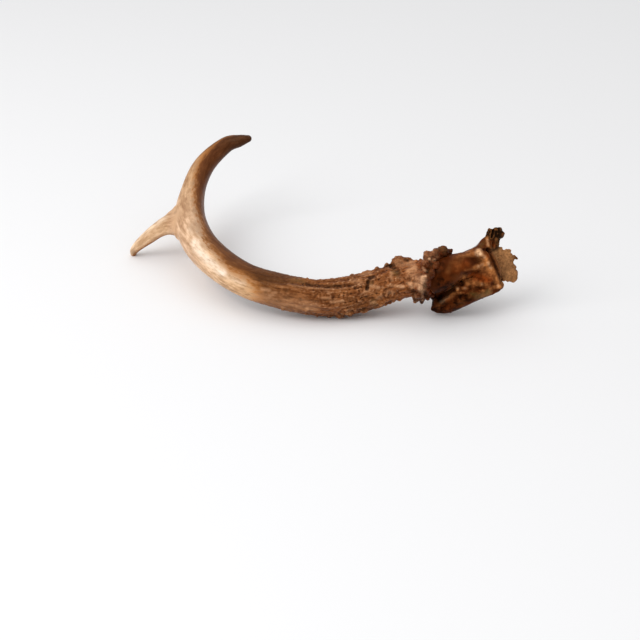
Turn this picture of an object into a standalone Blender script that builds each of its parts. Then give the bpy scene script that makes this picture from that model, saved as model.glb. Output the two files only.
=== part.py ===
# A young deer's forked antler, still fused to a broken piece of the skull.
#
# Metres, +Z up. It lies as it comes to rest: the belly of the beam, the end
# of the short tine and the low corner of the bone touch z = 0.
# The origin is on that plane, under the middle of the whole outline. +X runs
# along the beam from the fork to the skull, and +Y towards the hooked tine.
#
# Paths are lists of (x, y, z, radius) in millimetres, with the z = 0 plane as
# floor, and FRAME_SHIFT brings them to the origin.

import math
import random

import bmesh
import bpy
from mathutils import Matrix, Vector

MM = 0.001
FRAME_SHIFT = Vector((8.0, -84.35, 0.0))     # mm, from the path frame to the origin
SEED = 11

# The beam, from inside the burr to the fork, and on into the hooked tine.
BEAM_PATH = (
    (75.2, 4, 28.5, 13.0),
    (70.8, 6.2, 29.2, 13.0),
    (61, 10, 26.5, 12.4),
    (45, 11.5, 22.5, 12.4),
    (23, 9, 16.4, 12.8),
    (-5, 5, 14.4, 12.8),
    (-33, 9.5, 17.2, 12.2),
    (-62, 25, 21, 12.1),
    (-89, 60.5, 25.5, 12.6),
    (-103, 100, 31, 12.0),
)
HOOK_PATH = (
    (-104, 137, 40, 9.4),
    (-96.5, 162, 52, 8.2),
    (-80, 173.5, 64.5, 6.1),
    (-64, 171, 71, 3.6),
)
SHORT_TINE_PATH = (
    (-105, 100, 29.5, 9.5),
    (-112, 100, 28.5, 9.0),
    (-120, 101, 28, 7.6),
    (-128, 101.5, 23.5, 6.3),
    (-136, 102.5, 16.8, 5.2),
    (-142.5, 103.5, 10.8, 4.1),
    (-147.3, 105, 5, 3.2),
    (-148.3, 106, 1.6, 2.5),
)

# The burr: an oblique rough ring where the antler meets the skull.
BURR_CENTRE = Vector((70.8, 6.2, 28.8))
BURR_AXIS = Vector((0.88, -0.44, -0.13)).normalized()
BURR_RING_RADIUS = 14.5
BURR_RING_THICKNESS = 3.6
BURR_RING_BALLS = 30
BURR_RING_SHIFT = (-2.6, 0.8)   # along the axis
BURR_RING_SIZES = (0.8, 1.1)    # share of the thickness
# Its main knobs: degrees round the ring from the top, towards the back, then
# distance from the centre, shift along the axis, radius and stretch outwards.
BURR_KNOBS = (
    (4, 21.5, 1.5, 3.4, 1.5),
    (15, 23.0, 4.5, 3.7, 1.3),
    (24, 20.5, 2.0, 3.2, 1.3),
    (33, 22.0, 6.0, 3.5, 1.3),
    (45, 20.0, 4.0, 3.3, 1.5),
    (-10, 20.5, -4.0, 3.4, 1.6),
    (66, 18.5, -1.0, 3.4, 1.1),
    (95, 19.0, 1.0, 3.2, 1.3),
    (130, 17.5, -2.5, 3.6, 1.1),
    (158, 17.5, -2.0, 3.0, 1.4),
    (180, 18.5, -5.0, 2.6, 1.7),
    (200, 18.0, -2.5, 2.6, 1.6),
    (222, 17.5, -3.5, 3.0, 1.3),
    (248, 17.5, -0.5, 3.4, 1.0),
    (275, 18.0, -1.5, 3.0, 1.1),
    (302, 18.0, 1.5, 3.4, 1.0),
    (330, 19.0, -2.0, 3.2, 1.2),
)

# Larger lumps along the beam: (x, y, z, radius).
BEAM_LUMPS = (
    (50.5, 19, 34.6, 6.0),
    (44, 20, 27, 4.0),
    (60, 16, 36.5, 4.2),
    (57, 3, 21, 3.8),
    (46, 3, 16, 3.6),
    (37, 1.5, 10, 3.4),
    (27, 0, 6.6, 3.8),
    (18, -1.5, 4.8, 3.4),
    (9, 1, 3.2, 3.6),
    (2, 3, 3.4, 3.6),
    (-7, 1, 4, 3.0),
    (-16, 1.5, 4.6, 2.6),
    (63, 1, 21, 3.4),
    (52, 1, 26, 3.6),
    (40, 0, 21, 3.0),
)

# The web of horn in the upper crotch of the fork: (x, y, z, radius).
FORK_WEB = (
    (-111, 110, 33, 7.5),
    (-108, 90, 27, 7.0),
)

# Long ridges: degrees round the beam from the top, towards the back, and the
# distances along the beam from the seam where each begins and ends.
RIDGES = (
    (-115, 8, 84),
    (-92, 40, 128),
    (-70, 10, 96),
    (-48, 30, 150),
    (-22, 12, 92),
    (4, 26, 122),
    (34, 10, 104),
    (66, 24, 140),
    (98, 14, 105),
    (130, 26, 130),
    (160, 10, 118),
    (186, 30, 132),
    (214, 12, 110),
)
RIDGE_RADIUS = 2.6
RIDGE_TIP = 0.1             # radius at both ends
RIDGE_FADE = 0.4            # a lower power fades the ends more suddenly
RIDGE_SINK = 1.0            # how far a ridge's middle lies under the surface
RIDGE_WANDER = 6            # degrees to either side
RIDGE_WAVE = 0.06           # radians for each mm along the beam

BEAD_REACH = 78             # distance from the seam at which beads die out
BEAD_SPACING = 7.0          # along a ridge, near the seam
BEAD_SPREAD = (0.7, 1.4)    # share of the spacing
BEAD_THINNING = 0.35        # how close together beads still are where they die out
BEAD_RADII = (1.5, 2.7)
BEAD_GROWTH = (0.4, 1)      # share of the larger radius that a bead reaches
BEAD_STRETCH = (0.9, 1.6)   # along the beam
BEAD_SINK = -0.05           # share of the radius
BEAD_WANDER = 7             # degrees to either side

# The skull: the round pedicle, then a curved plate of frontal bone.
PEDICLE_PATH = (
    (66, 7, 26.5, 13.2),
    (84, 3.5, 32.5, 12.4),
    (92, 7, 35.5, 11.0),
    (100, 13, 38.5, 8.5),
)
# The plate's middle surface, as rows from its top edge to its low edge.
PLATE_ROWS = (
    ((86, 9, 41), (96, 9, 46), (106, 12, 49.5), (113, 17, 53)),
    ((88, 13, 33), (98, 13, 38), (108, 13, 41), (117, 12.5, 42)),
    ((88, 18, 21), (98, 16, 27), (110, 11.5, 31), (120, 11, 31)),
    ((82, 14, 7), (97, 10, 14.5), (109, 8, 20), (121, 9, 22)),
)
PLATE_THICKNESS = 5.5
LIP_PATH = (
    (77.5, 10, 4.7, 5.4),
    (89, 8, 10.5, 5.8),
    (101, 6.5, 17.5, 6.0),
    (111, 7.5, 21.5, 5.0),
    (119.5, 9.5, 23, 3.8),
)
EDGE_RIDGE_PATH = (
    (99, 11, 45.5, 2.6),
    (106, 11, 46.5, 3.4),
    (113, 10.5, 42, 3.2),
    (118, 10.5, 34, 3.0),
    (121.5, 10.5, 24, 3.4),
)
SPUR_PATHS = (
    ((110, 16, 47, 5.0), (111.5, 18, 54, 3.2), (113, 19.5, 60.5, 2.4)),
    ((112, 17, 47, 5.0), (115.5, 19, 54, 3.8), (118.5, 20.5, 59.5, 3.8)),
)
# The inner wall of the bone, behind the plate and bulging away from it.
WALL_ROWS = (
    ((92, 14, 43), (104, 17, 47), (117, 18, 49.5), (124.5, 17.5, 45.5)),
    ((91, 19, 33), (104, 26, 38), (119, 24, 40), (129, 18.5, 38.5)),
    ((90, 20, 22), (104, 26, 26), (120, 23, 30), (132.5, 18, 29)),
    ((92, 15, 13), (104, 16, 13), (118, 16, 20.5), (131.5, 17.5, 22.5)),
)
WALL_THICKNESS = 5.0
# Solid bone between plate and wall, and the teeth of the skull seam on the
# wall's free edge: (x, y, z, radius).
BONE_FILL = (
    (97, 16, 30, 8.5),
    (108, 17, 34, 8.0),
    (110, 15, 24, 6.5),
    (98, 15, 20, 6.0),
    (105, 12.5, 38, 7.5),
    (104, 12.5, 31, 6.5),
    (91, 15, 26, 6.0),
)
SEAM_TEETH = (
    (122.5, 17.5, 46.6, 2.2),
    (126.5, 18, 42.5, 1.9),
    (129.8, 18, 40.3, 2.3),
    (131.3, 18.5, 33.5, 2.4),
    (132, 18, 29.5, 2.6),
    (131, 18, 23.5, 3.0),
    (126, 17, 22.5, 2.0),
)
# Rough lumps on the lip and between it and the hollow: (x, y, z, radius).
LIP_LUMPS = (
    (96, 9, 23, 4.0),
    (102, 9, 26, 4.4),
    (108, 9.5, 27, 4.0),
    (84, 6, 9, 3.0),
    (93, 4, 14, 3.0),
    (100, 2.5, 19, 2.8),
    (107, 4, 22, 2.8),
    (76, 8, 8, 3.2),
    (84, 10, 12, 4.0),
)
# Small lumps scattered over the lip's outer side.
CRUMB_COUNT = 22
CRUMB_RADII = (1.2, 2.2)
CRUMB_DEPTH = 0.9           # share of the lip's radius
CRUMB_LOW = Vector((-0.4, -1, -0.8))    # the directions they face
CRUMB_HIGH = Vector((0.4, 0, 1))

# Planes that part the pieces: a point, the direction each one faces, and a gap.
SEAM_POINT = Vector((75.5, 4.2, 29.0))
HOOK_POINT = Vector((-104.5, 120, 35.5))
HOOK_FACING = Vector((0.0, 0.98, 0.2)).normalized()
TINE_POINT = Vector((-117.5, 100.5, 28))
TINE_FACING = Vector((-0.93, 0.1, -0.35)).normalized()
PIECE_GAP = 0.3
SOCKET_ROOM = 0.9           # round the pedicle, where the burr's knobs overhang it
SEAM_DISC_RADIUS = 18.5
SEAM_DISC_DEPTH = 20.0

FINE = 0.8                  # voxel size of the skins, mm
EASING = 4                  # rounds of smoothing
PATH_STEP = 1.5             # mm between a path's samples
END_BALL = 0.98             # share of a tube's radius
ANTLER_TRIANGLES = 6650
SKULL_TRIANGLES = 2550


def clear_scene():
    for old in list(bpy.data.objects):
        bpy.data.objects.remove(old, do_unlink=True)


def smooth_path(points):
    # A Catmull-Rom curve through the points, as (place, radius) samples.
    knots = [Vector(point) for point in points]
    knots.insert(0, 2 * knots[0] - knots[1])
    knots.append(2 * knots[-1] - knots[-2])
    samples = []
    for a, b, c, d in zip(knots, knots[1:], knots[2:], knots[3:]):
        count = max(2, round((c.xyz - b.xyz).length / PATH_STEP))
        for i in range(count):
            t = i / count
            bend = 2 * a - 5 * b + 4 * c - d
            cubic = 3 * b - a - 3 * c + d
            samples.append((2 * b + (c - a) * t + bend * t * t + cubic * t ** 3) / 2)
    samples.append(knots[-2])
    return [(sample.xyz, sample.w) for sample in samples]


def frames_along(samples):
    # For each sample: place, radius, direction, the side nearest +Z, its cross.
    frames = []
    for i, (place, radius) in enumerate(samples):
        before = samples[max(i - 1, 0)][0]
        after = samples[min(i + 1, len(samples) - 1)][0]
        along = (after - before).normalized()
        across = along.cross(Vector((0, 0, 1))).normalized()
        frames.append((place, radius, along, across.cross(along), across))
    return frames


def round_point(frame, degrees, distance):
    # A point at a distance from the axis: 0 degrees is up, 90 towards +Y.
    place, _, along, up, across = frame
    turn = math.radians(degrees)
    back = across if across.y > 0 else -across
    return place + (up * math.cos(turn) + back * math.sin(turn)) * distance


def add_rings(shape, samples, sides):
    # A closed tube along the samples, with flat ends.
    rings = []
    for place, radius, _, up, across in frames_along(samples):
        ring = []
        for k in range(sides):
            turn = 2 * math.pi * k / sides
            out = up * math.cos(turn) + across * math.sin(turn)
            ring.append(shape.verts.new(place + out * radius))
        rings.append(ring)
    for low, high in zip(rings, rings[1:]):
        for k in range(sides):
            nxt = (k + 1) % sides
            shape.faces.new((low[k], low[nxt], high[nxt], high[k]))
    shape.faces.new(rings[0][::-1])
    shape.faces.new(rings[-1])


def add_tube(shape, samples, sides=24, round_start=True):
    # A closed tube with a round end, and a round or a flat start.
    add_rings(shape, samples, sides)
    add_ball(shape, samples[-1][0], samples[-1][1] * END_BALL)
    if round_start:
        add_ball(shape, samples[0][0], samples[0][1] * END_BALL)


def add_ball(shape, place, radius, stretch=1.0, towards=None):
    turn = towards.to_track_quat("Z", "Y").to_matrix().to_4x4() if towards else Matrix()
    size = Matrix.Diagonal((radius, radius, radius * stretch, 1))
    where = Matrix.Translation(place) @ turn @ size
    bmesh.ops.create_icosphere(shape, subdivisions=2, radius=1, matrix=where)


def add_burr(shape, chance):
    up = (Vector((0, 0, 1)) - BURR_AXIS * BURR_AXIS.z).normalized()
    back = BURR_AXIS.cross(up)
    if back.y < 0:
        back = -back
    for k in range(BURR_RING_BALLS):
        turn = 2 * math.pi * k / BURR_RING_BALLS
        out = up * math.cos(turn) + back * math.sin(turn)
        place = BURR_CENTRE + out * BURR_RING_RADIUS
        place += BURR_AXIS * chance.uniform(*BURR_RING_SHIFT)
        add_ball(shape, place, BURR_RING_THICKNESS * chance.uniform(*BURR_RING_SIZES))
    for degrees, distance, shift, radius, stretch in BURR_KNOBS:
        turn = math.radians(degrees)
        out = up * math.cos(turn) + back * math.sin(turn)
        place = BURR_CENTRE + out * (distance - radius * 0.5) + BURR_AXIS * shift
        add_ball(shape, place, radius, stretch, out)


def add_ridges(shape, frames, distances, chance):
    # Long low ropes of horn, which break up into beads nearer the burr.
    for degrees, start, end in RIDGES:
        inside = [i for i, far in enumerate(distances) if start <= far <= end]
        strand = []
        for i in inside:
            share = (distances[i] - start) / (end - start)
            swell = RIDGE_RADIUS * math.sin(math.pi * share) ** RIDGE_FADE + RIDGE_TIP
            depth = frames[i][1] - RIDGE_SINK - (RIDGE_RADIUS - swell)
            strand.append((round_point(frames[i], ridge_turn(degrees, distances[i]), depth), swell))
        add_tube(shape, strand, sides=8)
        add_beads(shape, frames, distances, degrees, chance)


def ridge_turn(degrees, far):
    return degrees + RIDGE_WANDER * math.sin(far * RIDGE_WAVE + degrees)


def add_beads(shape, frames, distances, degrees, chance):
    small, large = BEAD_RADII
    far = chance.uniform(2, BEAD_SPACING)
    while far < BEAD_REACH:
        i = min(range(len(distances)), key=lambda n: abs(distances[n] - far))
        nearness = 1 - far / BEAD_REACH
        radius = small + (large - small) * nearness * chance.uniform(*BEAD_GROWTH)
        turn = ridge_turn(degrees, far) + chance.uniform(-BEAD_WANDER, BEAD_WANDER)
        place = round_point(frames[i], turn, frames[i][1] - radius * BEAD_SINK)
        add_ball(shape, place, radius, chance.uniform(*BEAD_STRETCH), frames[i][2])
        crowding = BEAD_THINNING + (1 - BEAD_THINNING) * nearness
        far += BEAD_SPACING * chance.uniform(*BEAD_SPREAD) / crowding


def distances_along(frames):
    total = [0.0]
    for before, after in zip(frames, frames[1:]):
        total.append(total[-1] + (after[0] - before[0]).length)
    return total


def skin(name, shape, triangles):
    # One closed skin round overlapping shapes, thinned to about this many faces.
    mesh = bpy.data.meshes.new(name)
    shape.to_mesh(mesh)
    shape.free()
    blank = bpy.data.objects.new(name, mesh)
    bpy.context.collection.objects.link(blank)
    fused = blank.modifiers.new("Fuse", "REMESH")
    fused.mode = "VOXEL"
    fused.voxel_size = FINE
    eased = blank.modifiers.new("Ease", "SMOOTH")
    eased.factor = 0.5
    eased.iterations = EASING
    count = len(evaluated(blank).polygons) * 2
    thinned = blank.modifiers.new("Thin", "DECIMATE")
    thinned.ratio = triangles / count
    thinned.use_collapse_triangulate = True
    result = evaluated(blank)
    bpy.data.objects.remove(blank)
    return result


def evaluated(item):
    bpy.context.view_layer.update()
    view = bpy.context.evaluated_depsgraph_get()
    return bpy.data.meshes.new_from_object(item.evaluated_get(view), depsgraph=view)


def cut(shape, point, facing):
    # Takes away what lies beyond the plane and closes the cut with a flat face.
    everything = shape.verts[:] + shape.edges[:] + shape.faces[:]
    bmesh.ops.bisect_plane(shape, geom=everything, dist=1e-4, plane_co=point,
                           plane_no=facing, clear_outer=True)
    rim = [edge for edge in shape.edges if edge.is_boundary]
    bmesh.ops.holes_fill(shape, edges=rim, sides=0)


def make_piece(name, skin_mesh, planes, cutters, material):
    # A copy of the skin, less what lies beyond the planes and inside the cutters.
    blank = bpy.data.objects.new(name + "_blank", skin_mesh)
    bpy.context.collection.objects.link(blank)
    for cutter in cutters:
        taken = blank.modifiers.new("Take", "BOOLEAN")
        taken.operation = "DIFFERENCE"
        taken.solver = "EXACT"
        taken.use_self = True
        taken.object = cutter
    shape = bmesh.new()
    shape.from_mesh(evaluated(blank))
    bpy.data.objects.remove(blank)
    for point, facing in planes:
        cut(shape, point, facing)
    keep_largest(shape)
    cut(shape, Vector((0, 0, 0)), Vector((0, 0, -1)))
    bmesh.ops.triangulate(shape, faces=shape.faces[:])
    bmesh.ops.dissolve_degenerate(shape, dist=0.01, edges=shape.edges[:])
    bmesh.ops.triangulate(shape, faces=shape.faces[:])
    bmesh.ops.recalc_face_normals(shape, faces=shape.faces[:])
    bmesh.ops.translate(shape, vec=FRAME_SHIFT, verts=shape.verts[:])
    bmesh.ops.scale(shape, vec=Vector((MM, MM, MM)), verts=shape.verts[:])
    mesh = bpy.data.meshes.new(name)
    shape.to_mesh(mesh)
    shape.free()
    mesh.shade_smooth()
    mesh.materials.append(material)
    piece = bpy.data.objects.new(name, mesh)
    bpy.context.collection.objects.link(piece)
    return piece


def keep_largest(shape):
    # Drops the small closed shells that overlapping shapes leave inside a skin.
    left = set(shape.verts)
    islands = []
    while left:
        island = {left.pop()}
        edge_of = list(island)
        while edge_of:
            vert = edge_of.pop()
            for edge in vert.link_edges:
                other = edge.other_vert(vert)
                if other in left:
                    left.remove(other)
                    island.add(other)
                    edge_of.append(other)
        islands.append(island)
    islands.sort(key=len)
    for island in islands[:-1]:
        bmesh.ops.delete(shape, geom=list(island), context="VERTS")


def make_cutter(name, shape):
    bmesh.ops.recalc_face_normals(shape, faces=shape.faces[:])
    mesh = bpy.data.meshes.new(name)
    shape.to_mesh(mesh)
    shape.free()
    cutter = bpy.data.objects.new(name, mesh)
    bpy.context.collection.objects.link(cutter)
    cutter.hide_render = True
    cutter.display_type = "WIRE"
    return cutter


def pedicle_socket():
    # The pedicle with a little room round it, on the skull's side of the seam.
    shape = bmesh.new()
    roomy = [(place, radius + SOCKET_ROOM) for place, radius in smooth_path(PEDICLE_PATH)]
    add_rings(shape, roomy, sides=32)
    cut(shape, SEAM_POINT - BURR_AXIS * PIECE_GAP / 2, -BURR_AXIS)
    return make_cutter("pedicle_socket", shape)


def seam_disc():
    # What lies on the antler's side of the seam, round the end of the pedicle.
    shape = bmesh.new()
    turn = BURR_AXIS.to_track_quat("Z", "Y").to_matrix().to_4x4()
    middle = SEAM_POINT + BURR_AXIS * (PIECE_GAP - SEAM_DISC_DEPTH) / 2
    bmesh.ops.create_cone(shape, cap_ends=True, segments=48, radius1=SEAM_DISC_RADIUS,
                          radius2=SEAM_DISC_RADIUS, depth=SEAM_DISC_DEPTH,
                          matrix=Matrix.Translation(middle) @ turn)
    return make_cutter("seam_disc", shape)


def make_material(name, colour, roughness):
    material = bpy.data.materials.new(name)
    material.use_nodes = True
    shader = material.node_tree.nodes["Principled BSDF"]
    shader.inputs["Base Color"].default_value = (*colour, 1)
    shader.inputs["Roughness"].default_value = roughness
    shader.inputs["Metallic"].default_value = 0
    return material


def antler_skin():
    # Beam, burr and both tines grow as one body, so they are fused as one skin.
    chance = random.Random(SEED)
    shape = bmesh.new()
    axis = smooth_path(BEAM_PATH + HOOK_PATH)
    frames = frames_along(axis)
    distances = distances_along(frames)
    add_tube(shape, axis, sides=32, round_start=False)
    add_tube(shape, smooth_path(SHORT_TINE_PATH))
    add_burr(shape, chance)
    add_ridges(shape, frames, distances, chance)
    for x, y, z, radius in BEAM_LUMPS + FORK_WEB:
        add_ball(shape, Vector((x, y, z)), radius)
    return skin("antler_skin", shape, ANTLER_TRIANGLES)


def add_sheet(shape, rows, thickness):
    # A sheet of bone: a grid of points on its middle surface, rounded off.
    sheet = bmesh.new()
    grid = [[sheet.verts.new(point) for point in row] for row in rows]
    for upper, lower in zip(grid, grid[1:]):
        for k in range(len(upper) - 1):
            sheet.faces.new((upper[k], lower[k], lower[k + 1], upper[k + 1]))
    mesh = bpy.data.meshes.new("sheet")
    sheet.to_mesh(mesh)
    sheet.free()
    item = bpy.data.objects.new("sheet", mesh)
    bpy.context.collection.objects.link(item)
    rounded = item.modifiers.new("Round", "SUBSURF")
    rounded.levels = 2
    rounded.render_levels = 2
    thick = item.modifiers.new("Thick", "SOLIDIFY")
    thick.thickness = thickness
    thick.offset = 0
    shape.from_mesh(evaluated(item))
    bpy.data.objects.remove(item)


def skull_skin():
    chance = random.Random(SEED + 1)
    shape = bmesh.new()
    add_tube(shape, smooth_path(PEDICLE_PATH), round_start=False)
    add_sheet(shape, PLATE_ROWS, PLATE_THICKNESS)
    add_sheet(shape, WALL_ROWS, WALL_THICKNESS)
    lip = smooth_path(LIP_PATH)
    add_tube(shape, lip, sides=16)
    add_tube(shape, smooth_path(EDGE_RIDGE_PATH), sides=12)
    for path in SPUR_PATHS:
        add_tube(shape, smooth_path(path), sides=12)
    for x, y, z, radius in LIP_LUMPS + BONE_FILL + SEAM_TEETH:
        add_ball(shape, Vector((x, y, z)), radius)
    for _ in range(CRUMB_COUNT):
        place, radius = chance.choice(lip)
        away = Vector([chance.uniform(low, high) for low, high in zip(CRUMB_LOW, CRUMB_HIGH)])
        place = place + away.normalized() * radius * CRUMB_DEPTH
        add_ball(shape, place, chance.uniform(*CRUMB_RADII))
    bmesh.ops.recalc_face_normals(shape, faces=shape.faces[:])
    return skin("skull_skin", shape, SKULL_TRIANGLES)


def main():
    clear_scene()
    tan_antler = make_material("Antler", (0.42, 0.27, 0.15), 0.55)
    dark_bone = make_material("Skull bone", (0.22, 0.11, 0.06), 0.45)
    half = PIECE_GAP / 2
    hook = (HOOK_POINT - HOOK_FACING * half, HOOK_FACING)
    past_hook = (HOOK_POINT + HOOK_FACING * half, -HOOK_FACING)
    tine = (TINE_POINT - TINE_FACING * half, TINE_FACING)
    past_tine = (TINE_POINT + TINE_FACING * half, -TINE_FACING)
    antler = antler_skin()
    make_piece("beam", antler, (hook, tine), (pedicle_socket(),), tan_antler)
    make_piece("hooked_tine", antler, (past_hook,), (), tan_antler)
    make_piece("short_tine", antler, (past_tine,), (), tan_antler)
    make_piece("skull_piece", skull_skin(), (), (seam_disc(),), dark_bone)


main()
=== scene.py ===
# A young deer's forked antler, with a broken piece of the skull still on its base.
# It is modelled in millimetres in the antler's own frame, where the floor is z = 0,
# and place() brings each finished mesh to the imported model's frame in metres.

import math
from functools import partial

import bmesh
import bpy
import numpy as np
from mathutils import Matrix, Vector


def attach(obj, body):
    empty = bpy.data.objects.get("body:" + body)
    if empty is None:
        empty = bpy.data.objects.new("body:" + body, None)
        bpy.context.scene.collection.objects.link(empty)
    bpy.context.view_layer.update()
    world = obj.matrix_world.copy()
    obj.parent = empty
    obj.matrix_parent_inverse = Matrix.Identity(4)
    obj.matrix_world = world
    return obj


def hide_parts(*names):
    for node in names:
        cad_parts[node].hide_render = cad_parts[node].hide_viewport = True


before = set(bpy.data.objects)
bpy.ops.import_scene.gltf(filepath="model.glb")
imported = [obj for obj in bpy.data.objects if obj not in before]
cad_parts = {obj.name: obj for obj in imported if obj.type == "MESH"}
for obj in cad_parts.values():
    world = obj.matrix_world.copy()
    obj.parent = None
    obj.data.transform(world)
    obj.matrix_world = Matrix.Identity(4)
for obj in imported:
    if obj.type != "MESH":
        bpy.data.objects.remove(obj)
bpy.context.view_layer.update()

mm = 0.001
frameShift = Vector((8.0, -84.35, 0.0))     # from the antler's own frame, in mm

# The camera in the antler's own frame, in mm and degrees, and what a pixel of the
# 640-pixel picture spans at its target. Marks are placed by these pixels.
view = {
    "target": Vector((-5.0, 0.0, 0.0)),
    "distance": 950.0,
    "elevation": 28.0,
    "pixel": 0.7,
    "middle": 320,
    "facing": 0.3,              # how squarely a surface faces the camera where marks lie in full
    "spread": 1.5,              # how much wider than its stroke a mark's colour fades out
    "breaks": (0.36, 0.62, 0.25, 1.0),  # a noise from, to, and the least and most of a mark it leaves
}


def toLinear(hexColour):
    parts = [int(hexColour[i:i + 2], 16) / 255 for i in (1, 3, 5)]
    return [c / 12.92 if c <= 0.04045 else ((c + 0.055) / 1.055) ** 2.4 for c in parts] + [1]


def addNode(tree, kind, settings=None, inputs=(), stops=()):
    # One node with its settings, its inputs' values or links, and a ramp's stops.
    # Inputs are named, numbered or in order; a node stands for its first output in use.
    node = tree.nodes.new(kind)
    for name, value in (settings or {}).items():
        setattr(node, name, value)
    given = inputs if isinstance(inputs, dict) else dict(enumerate(inputs))
    for key, value in given.items():
        named = [socket for socket in node.inputs if socket.enabled and socket.name == key]
        socket = node.inputs[key] if isinstance(key, int) else named[0]
        if isinstance(value, bpy.types.Node):
            value = next(output for output in value.outputs if output.enabled)
        if isinstance(value, bpy.types.NodeSocket):
            tree.links.new(value, socket)
        else:
            isColour = isinstance(value, str) and value.startswith("#")
            socket.default_value = toLinear(value) if isColour else value
    for i, (position, colour) in enumerate(stops):
        ramp = node.color_ramp.elements
        stop = ramp[i] if i < 2 else ramp.new(position)
        stop.position = position
        stop.color = toLinear(colour)
    return node


def newTree(name, sizes):
    # A geometry tree with one named input for each size.
    tree = bpy.data.node_groups.new(name, "GeometryNodeTree")
    tree.interface.new_socket("Geometry", in_out="INPUT", socket_type="NodeSocketGeometry")
    for label, value in sizes.items():
        kind = "NodeSocketInt" if isinstance(value, int) else "NodeSocketFloat"
        tree.interface.new_socket(label, in_out="INPUT", socket_type=kind)
    tree.interface.new_socket("Geometry", in_out="OUTPUT", socket_type="NodeSocketGeometry")
    return tree, partial(addNode, tree), tree.nodes.new("NodeGroupInput").outputs


def endTree(add, shape, material):
    real = add("GeometryNodeRealizeInstances", None, {"Geometry": shape})
    coated = add("GeometryNodeSetMaterial", None, {"Geometry": real, "Material": material})
    add("NodeGroupOutput", None, {"Geometry": coated})


def addRelief(add, source, gap, detail):
    # A noise round nought, with so many mm between its lumps.
    shrunk = add("ShaderNodeVectorMath", {"operation": "DIVIDE"}, (source, gap))
    noise = add("ShaderNodeTexNoise", None, {"Vector": shrunk, "Scale": 1.0, "Detail": detail})
    return add("ShaderNodeMath", {"operation": "SUBTRACT"}, (noise, 0.5))


def pushOut(add, shape, relief):
    push = add("ShaderNodeVectorMath", {"operation": "SCALE"},
               {0: add("GeometryNodeInputNormal"), "Scale": relief})
    return add("GeometryNodeSetPosition", None, {"Geometry": shape, "Offset": push})


def linked(name, data):
    item = bpy.data.objects.new(name, data)
    bpy.context.scene.collection.objects.link(item)
    return item


def finished(item):
    # The plain mesh that an object's modifiers make, without the object.
    bpy.context.view_layer.update()
    graph = bpy.context.evaluated_depsgraph_get()
    mesh = bpy.data.meshes.new_from_object(item.evaluated_get(graph), depsgraph=graph)
    bpy.data.objects.remove(item)
    return mesh


def grow(mesh, tree, sizes):
    # Runs a geometry tree on a mesh and returns the plain mesh it makes.
    item = linked("growing", mesh)
    modifier = item.modifiers.new("Grow", "NODES")
    modifier.node_group = tree
    for socket in tree.interface.items_tree:
        if socket.in_out == "INPUT" and socket.name in sizes:
            modifier[socket.identifier] = sizes[socket.name]
    return finished(item)


def setAttribute(mesh, name, values):
    kind, key = ("FLOAT", "value") if values.ndim == 1 else ("FLOAT_VECTOR", "vector")
    layer = mesh.attributes.get(name) or mesh.attributes.new(name, kind, "POINT")
    layer.data.foreach_set(key, values.astype(np.float32).ravel())


def readPoints(source, key, count):
    found = np.empty(count * 3, np.float32)
    source.foreach_get(key, found)
    return found.reshape(-1, 3).astype(float)


def places(mesh):
    return readPoints(mesh.vertices, "co", len(mesh.vertices))


def normals(mesh):
    return readPoints(mesh.vertex_normals, "vector", len(mesh.vertices))


def setPlaces(mesh, at):
    mesh.vertices.foreach_set("co", at.astype(np.float32).ravel())
    mesh.update()


def eased(mesh, values, rounds):
    # The values spread over the mesh, each round by half an edge or so.
    ends = np.empty(len(mesh.edges) * 2, np.int32)
    mesh.edges.foreach_get("vertices", ends)
    a, b = ends.reshape(-1, 2).T
    count = len(values)
    near = np.bincount(a, minlength=count) + np.bincount(b, minlength=count)
    for _ in range(rounds):
        total = np.stack([np.bincount(a, values[b, k], count) + np.bincount(b, values[a, k], count)
                          for k in range(values.shape[1])], 1)
        values = (values + total / near[:, None]) / 2
    return values


def softStep(values, low, high):
    share = np.clip((values - low) / (high - low), 0, 1)
    return share * share * (3 - 2 * share)


def fading(values, start, end, least):
    # One up to the start, and the least past the end.
    return least + (1 - least) * (1 - softStep(values, start, end))


def drawn(at, strokes):
    # Strokes drawn as soft weights: points, a radius and a strength.
    total = np.zeros(len(at))
    for points, radius, strength in strokes:
        gap = np.full(len(at), np.inf)
        for a, b in zip(points, points[1:] or points):
            a, run = np.array(a), np.subtract(b, a)
            t = np.clip((at - a) @ run / max(run @ run, 1e-9), 0, 1)
            gap = np.minimum(gap, np.linalg.norm(at - a - t[:, None] * run, axis=1))
        total += strength * np.clip(1 - (gap / radius) ** 2, 0, 1) ** 2
    return total


def easeShape(mesh, rounds, strokes=None):
    # Smooths a shape, everywhere or round some strokes.
    at = places(mesh)
    share = 1.0 if strokes is None else np.minimum(drawn(at, strokes) * 2, 1)[:, None]
    setPlaces(mesh, at + (eased(mesh, at, rounds) - at) * share)


def seen(mesh, strokes, spread=1.0):
    # Strokes drawn on the picture, in its pixels, as weights where the surface faces the camera.
    turn = math.radians(view["elevation"])
    towards = np.array((0, -math.cos(turn), math.sin(turn)))
    up = np.array((0, math.sin(turn), math.cos(turn)))
    gap = np.array(view["target"]) + towards * view["distance"] - places(mesh)
    scale = view["distance"] / (gap @ towards) / view["pixel"]
    pixels = view["middle"] + np.stack([-gap[:, 0], gap @ up], 1) * scale[:, None]
    facing = (normals(mesh) * gap).sum(1) / np.linalg.norm(gap, axis=1)
    wider = [(points, radius * spread, strength) for points, radius, strength in strokes]
    return drawn(pixels, wider) * softStep(facing, 0.0, view["facing"])


def mould(mesh, strokes):
    # Raises the strokes seen in the picture by so many mm, or presses those below nought.
    setPlaces(mesh, places(mesh) + seen(mesh, strokes)[:, None] * normals(mesh))


def mark(mesh, names, piece):
    # Keeps each kind of mark seen in the picture as an attribute that the material reads.
    for name in names:
        setAttribute(mesh, name, np.clip(seen(mesh, piece[name], view["spread"]), 0, 1))


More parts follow.
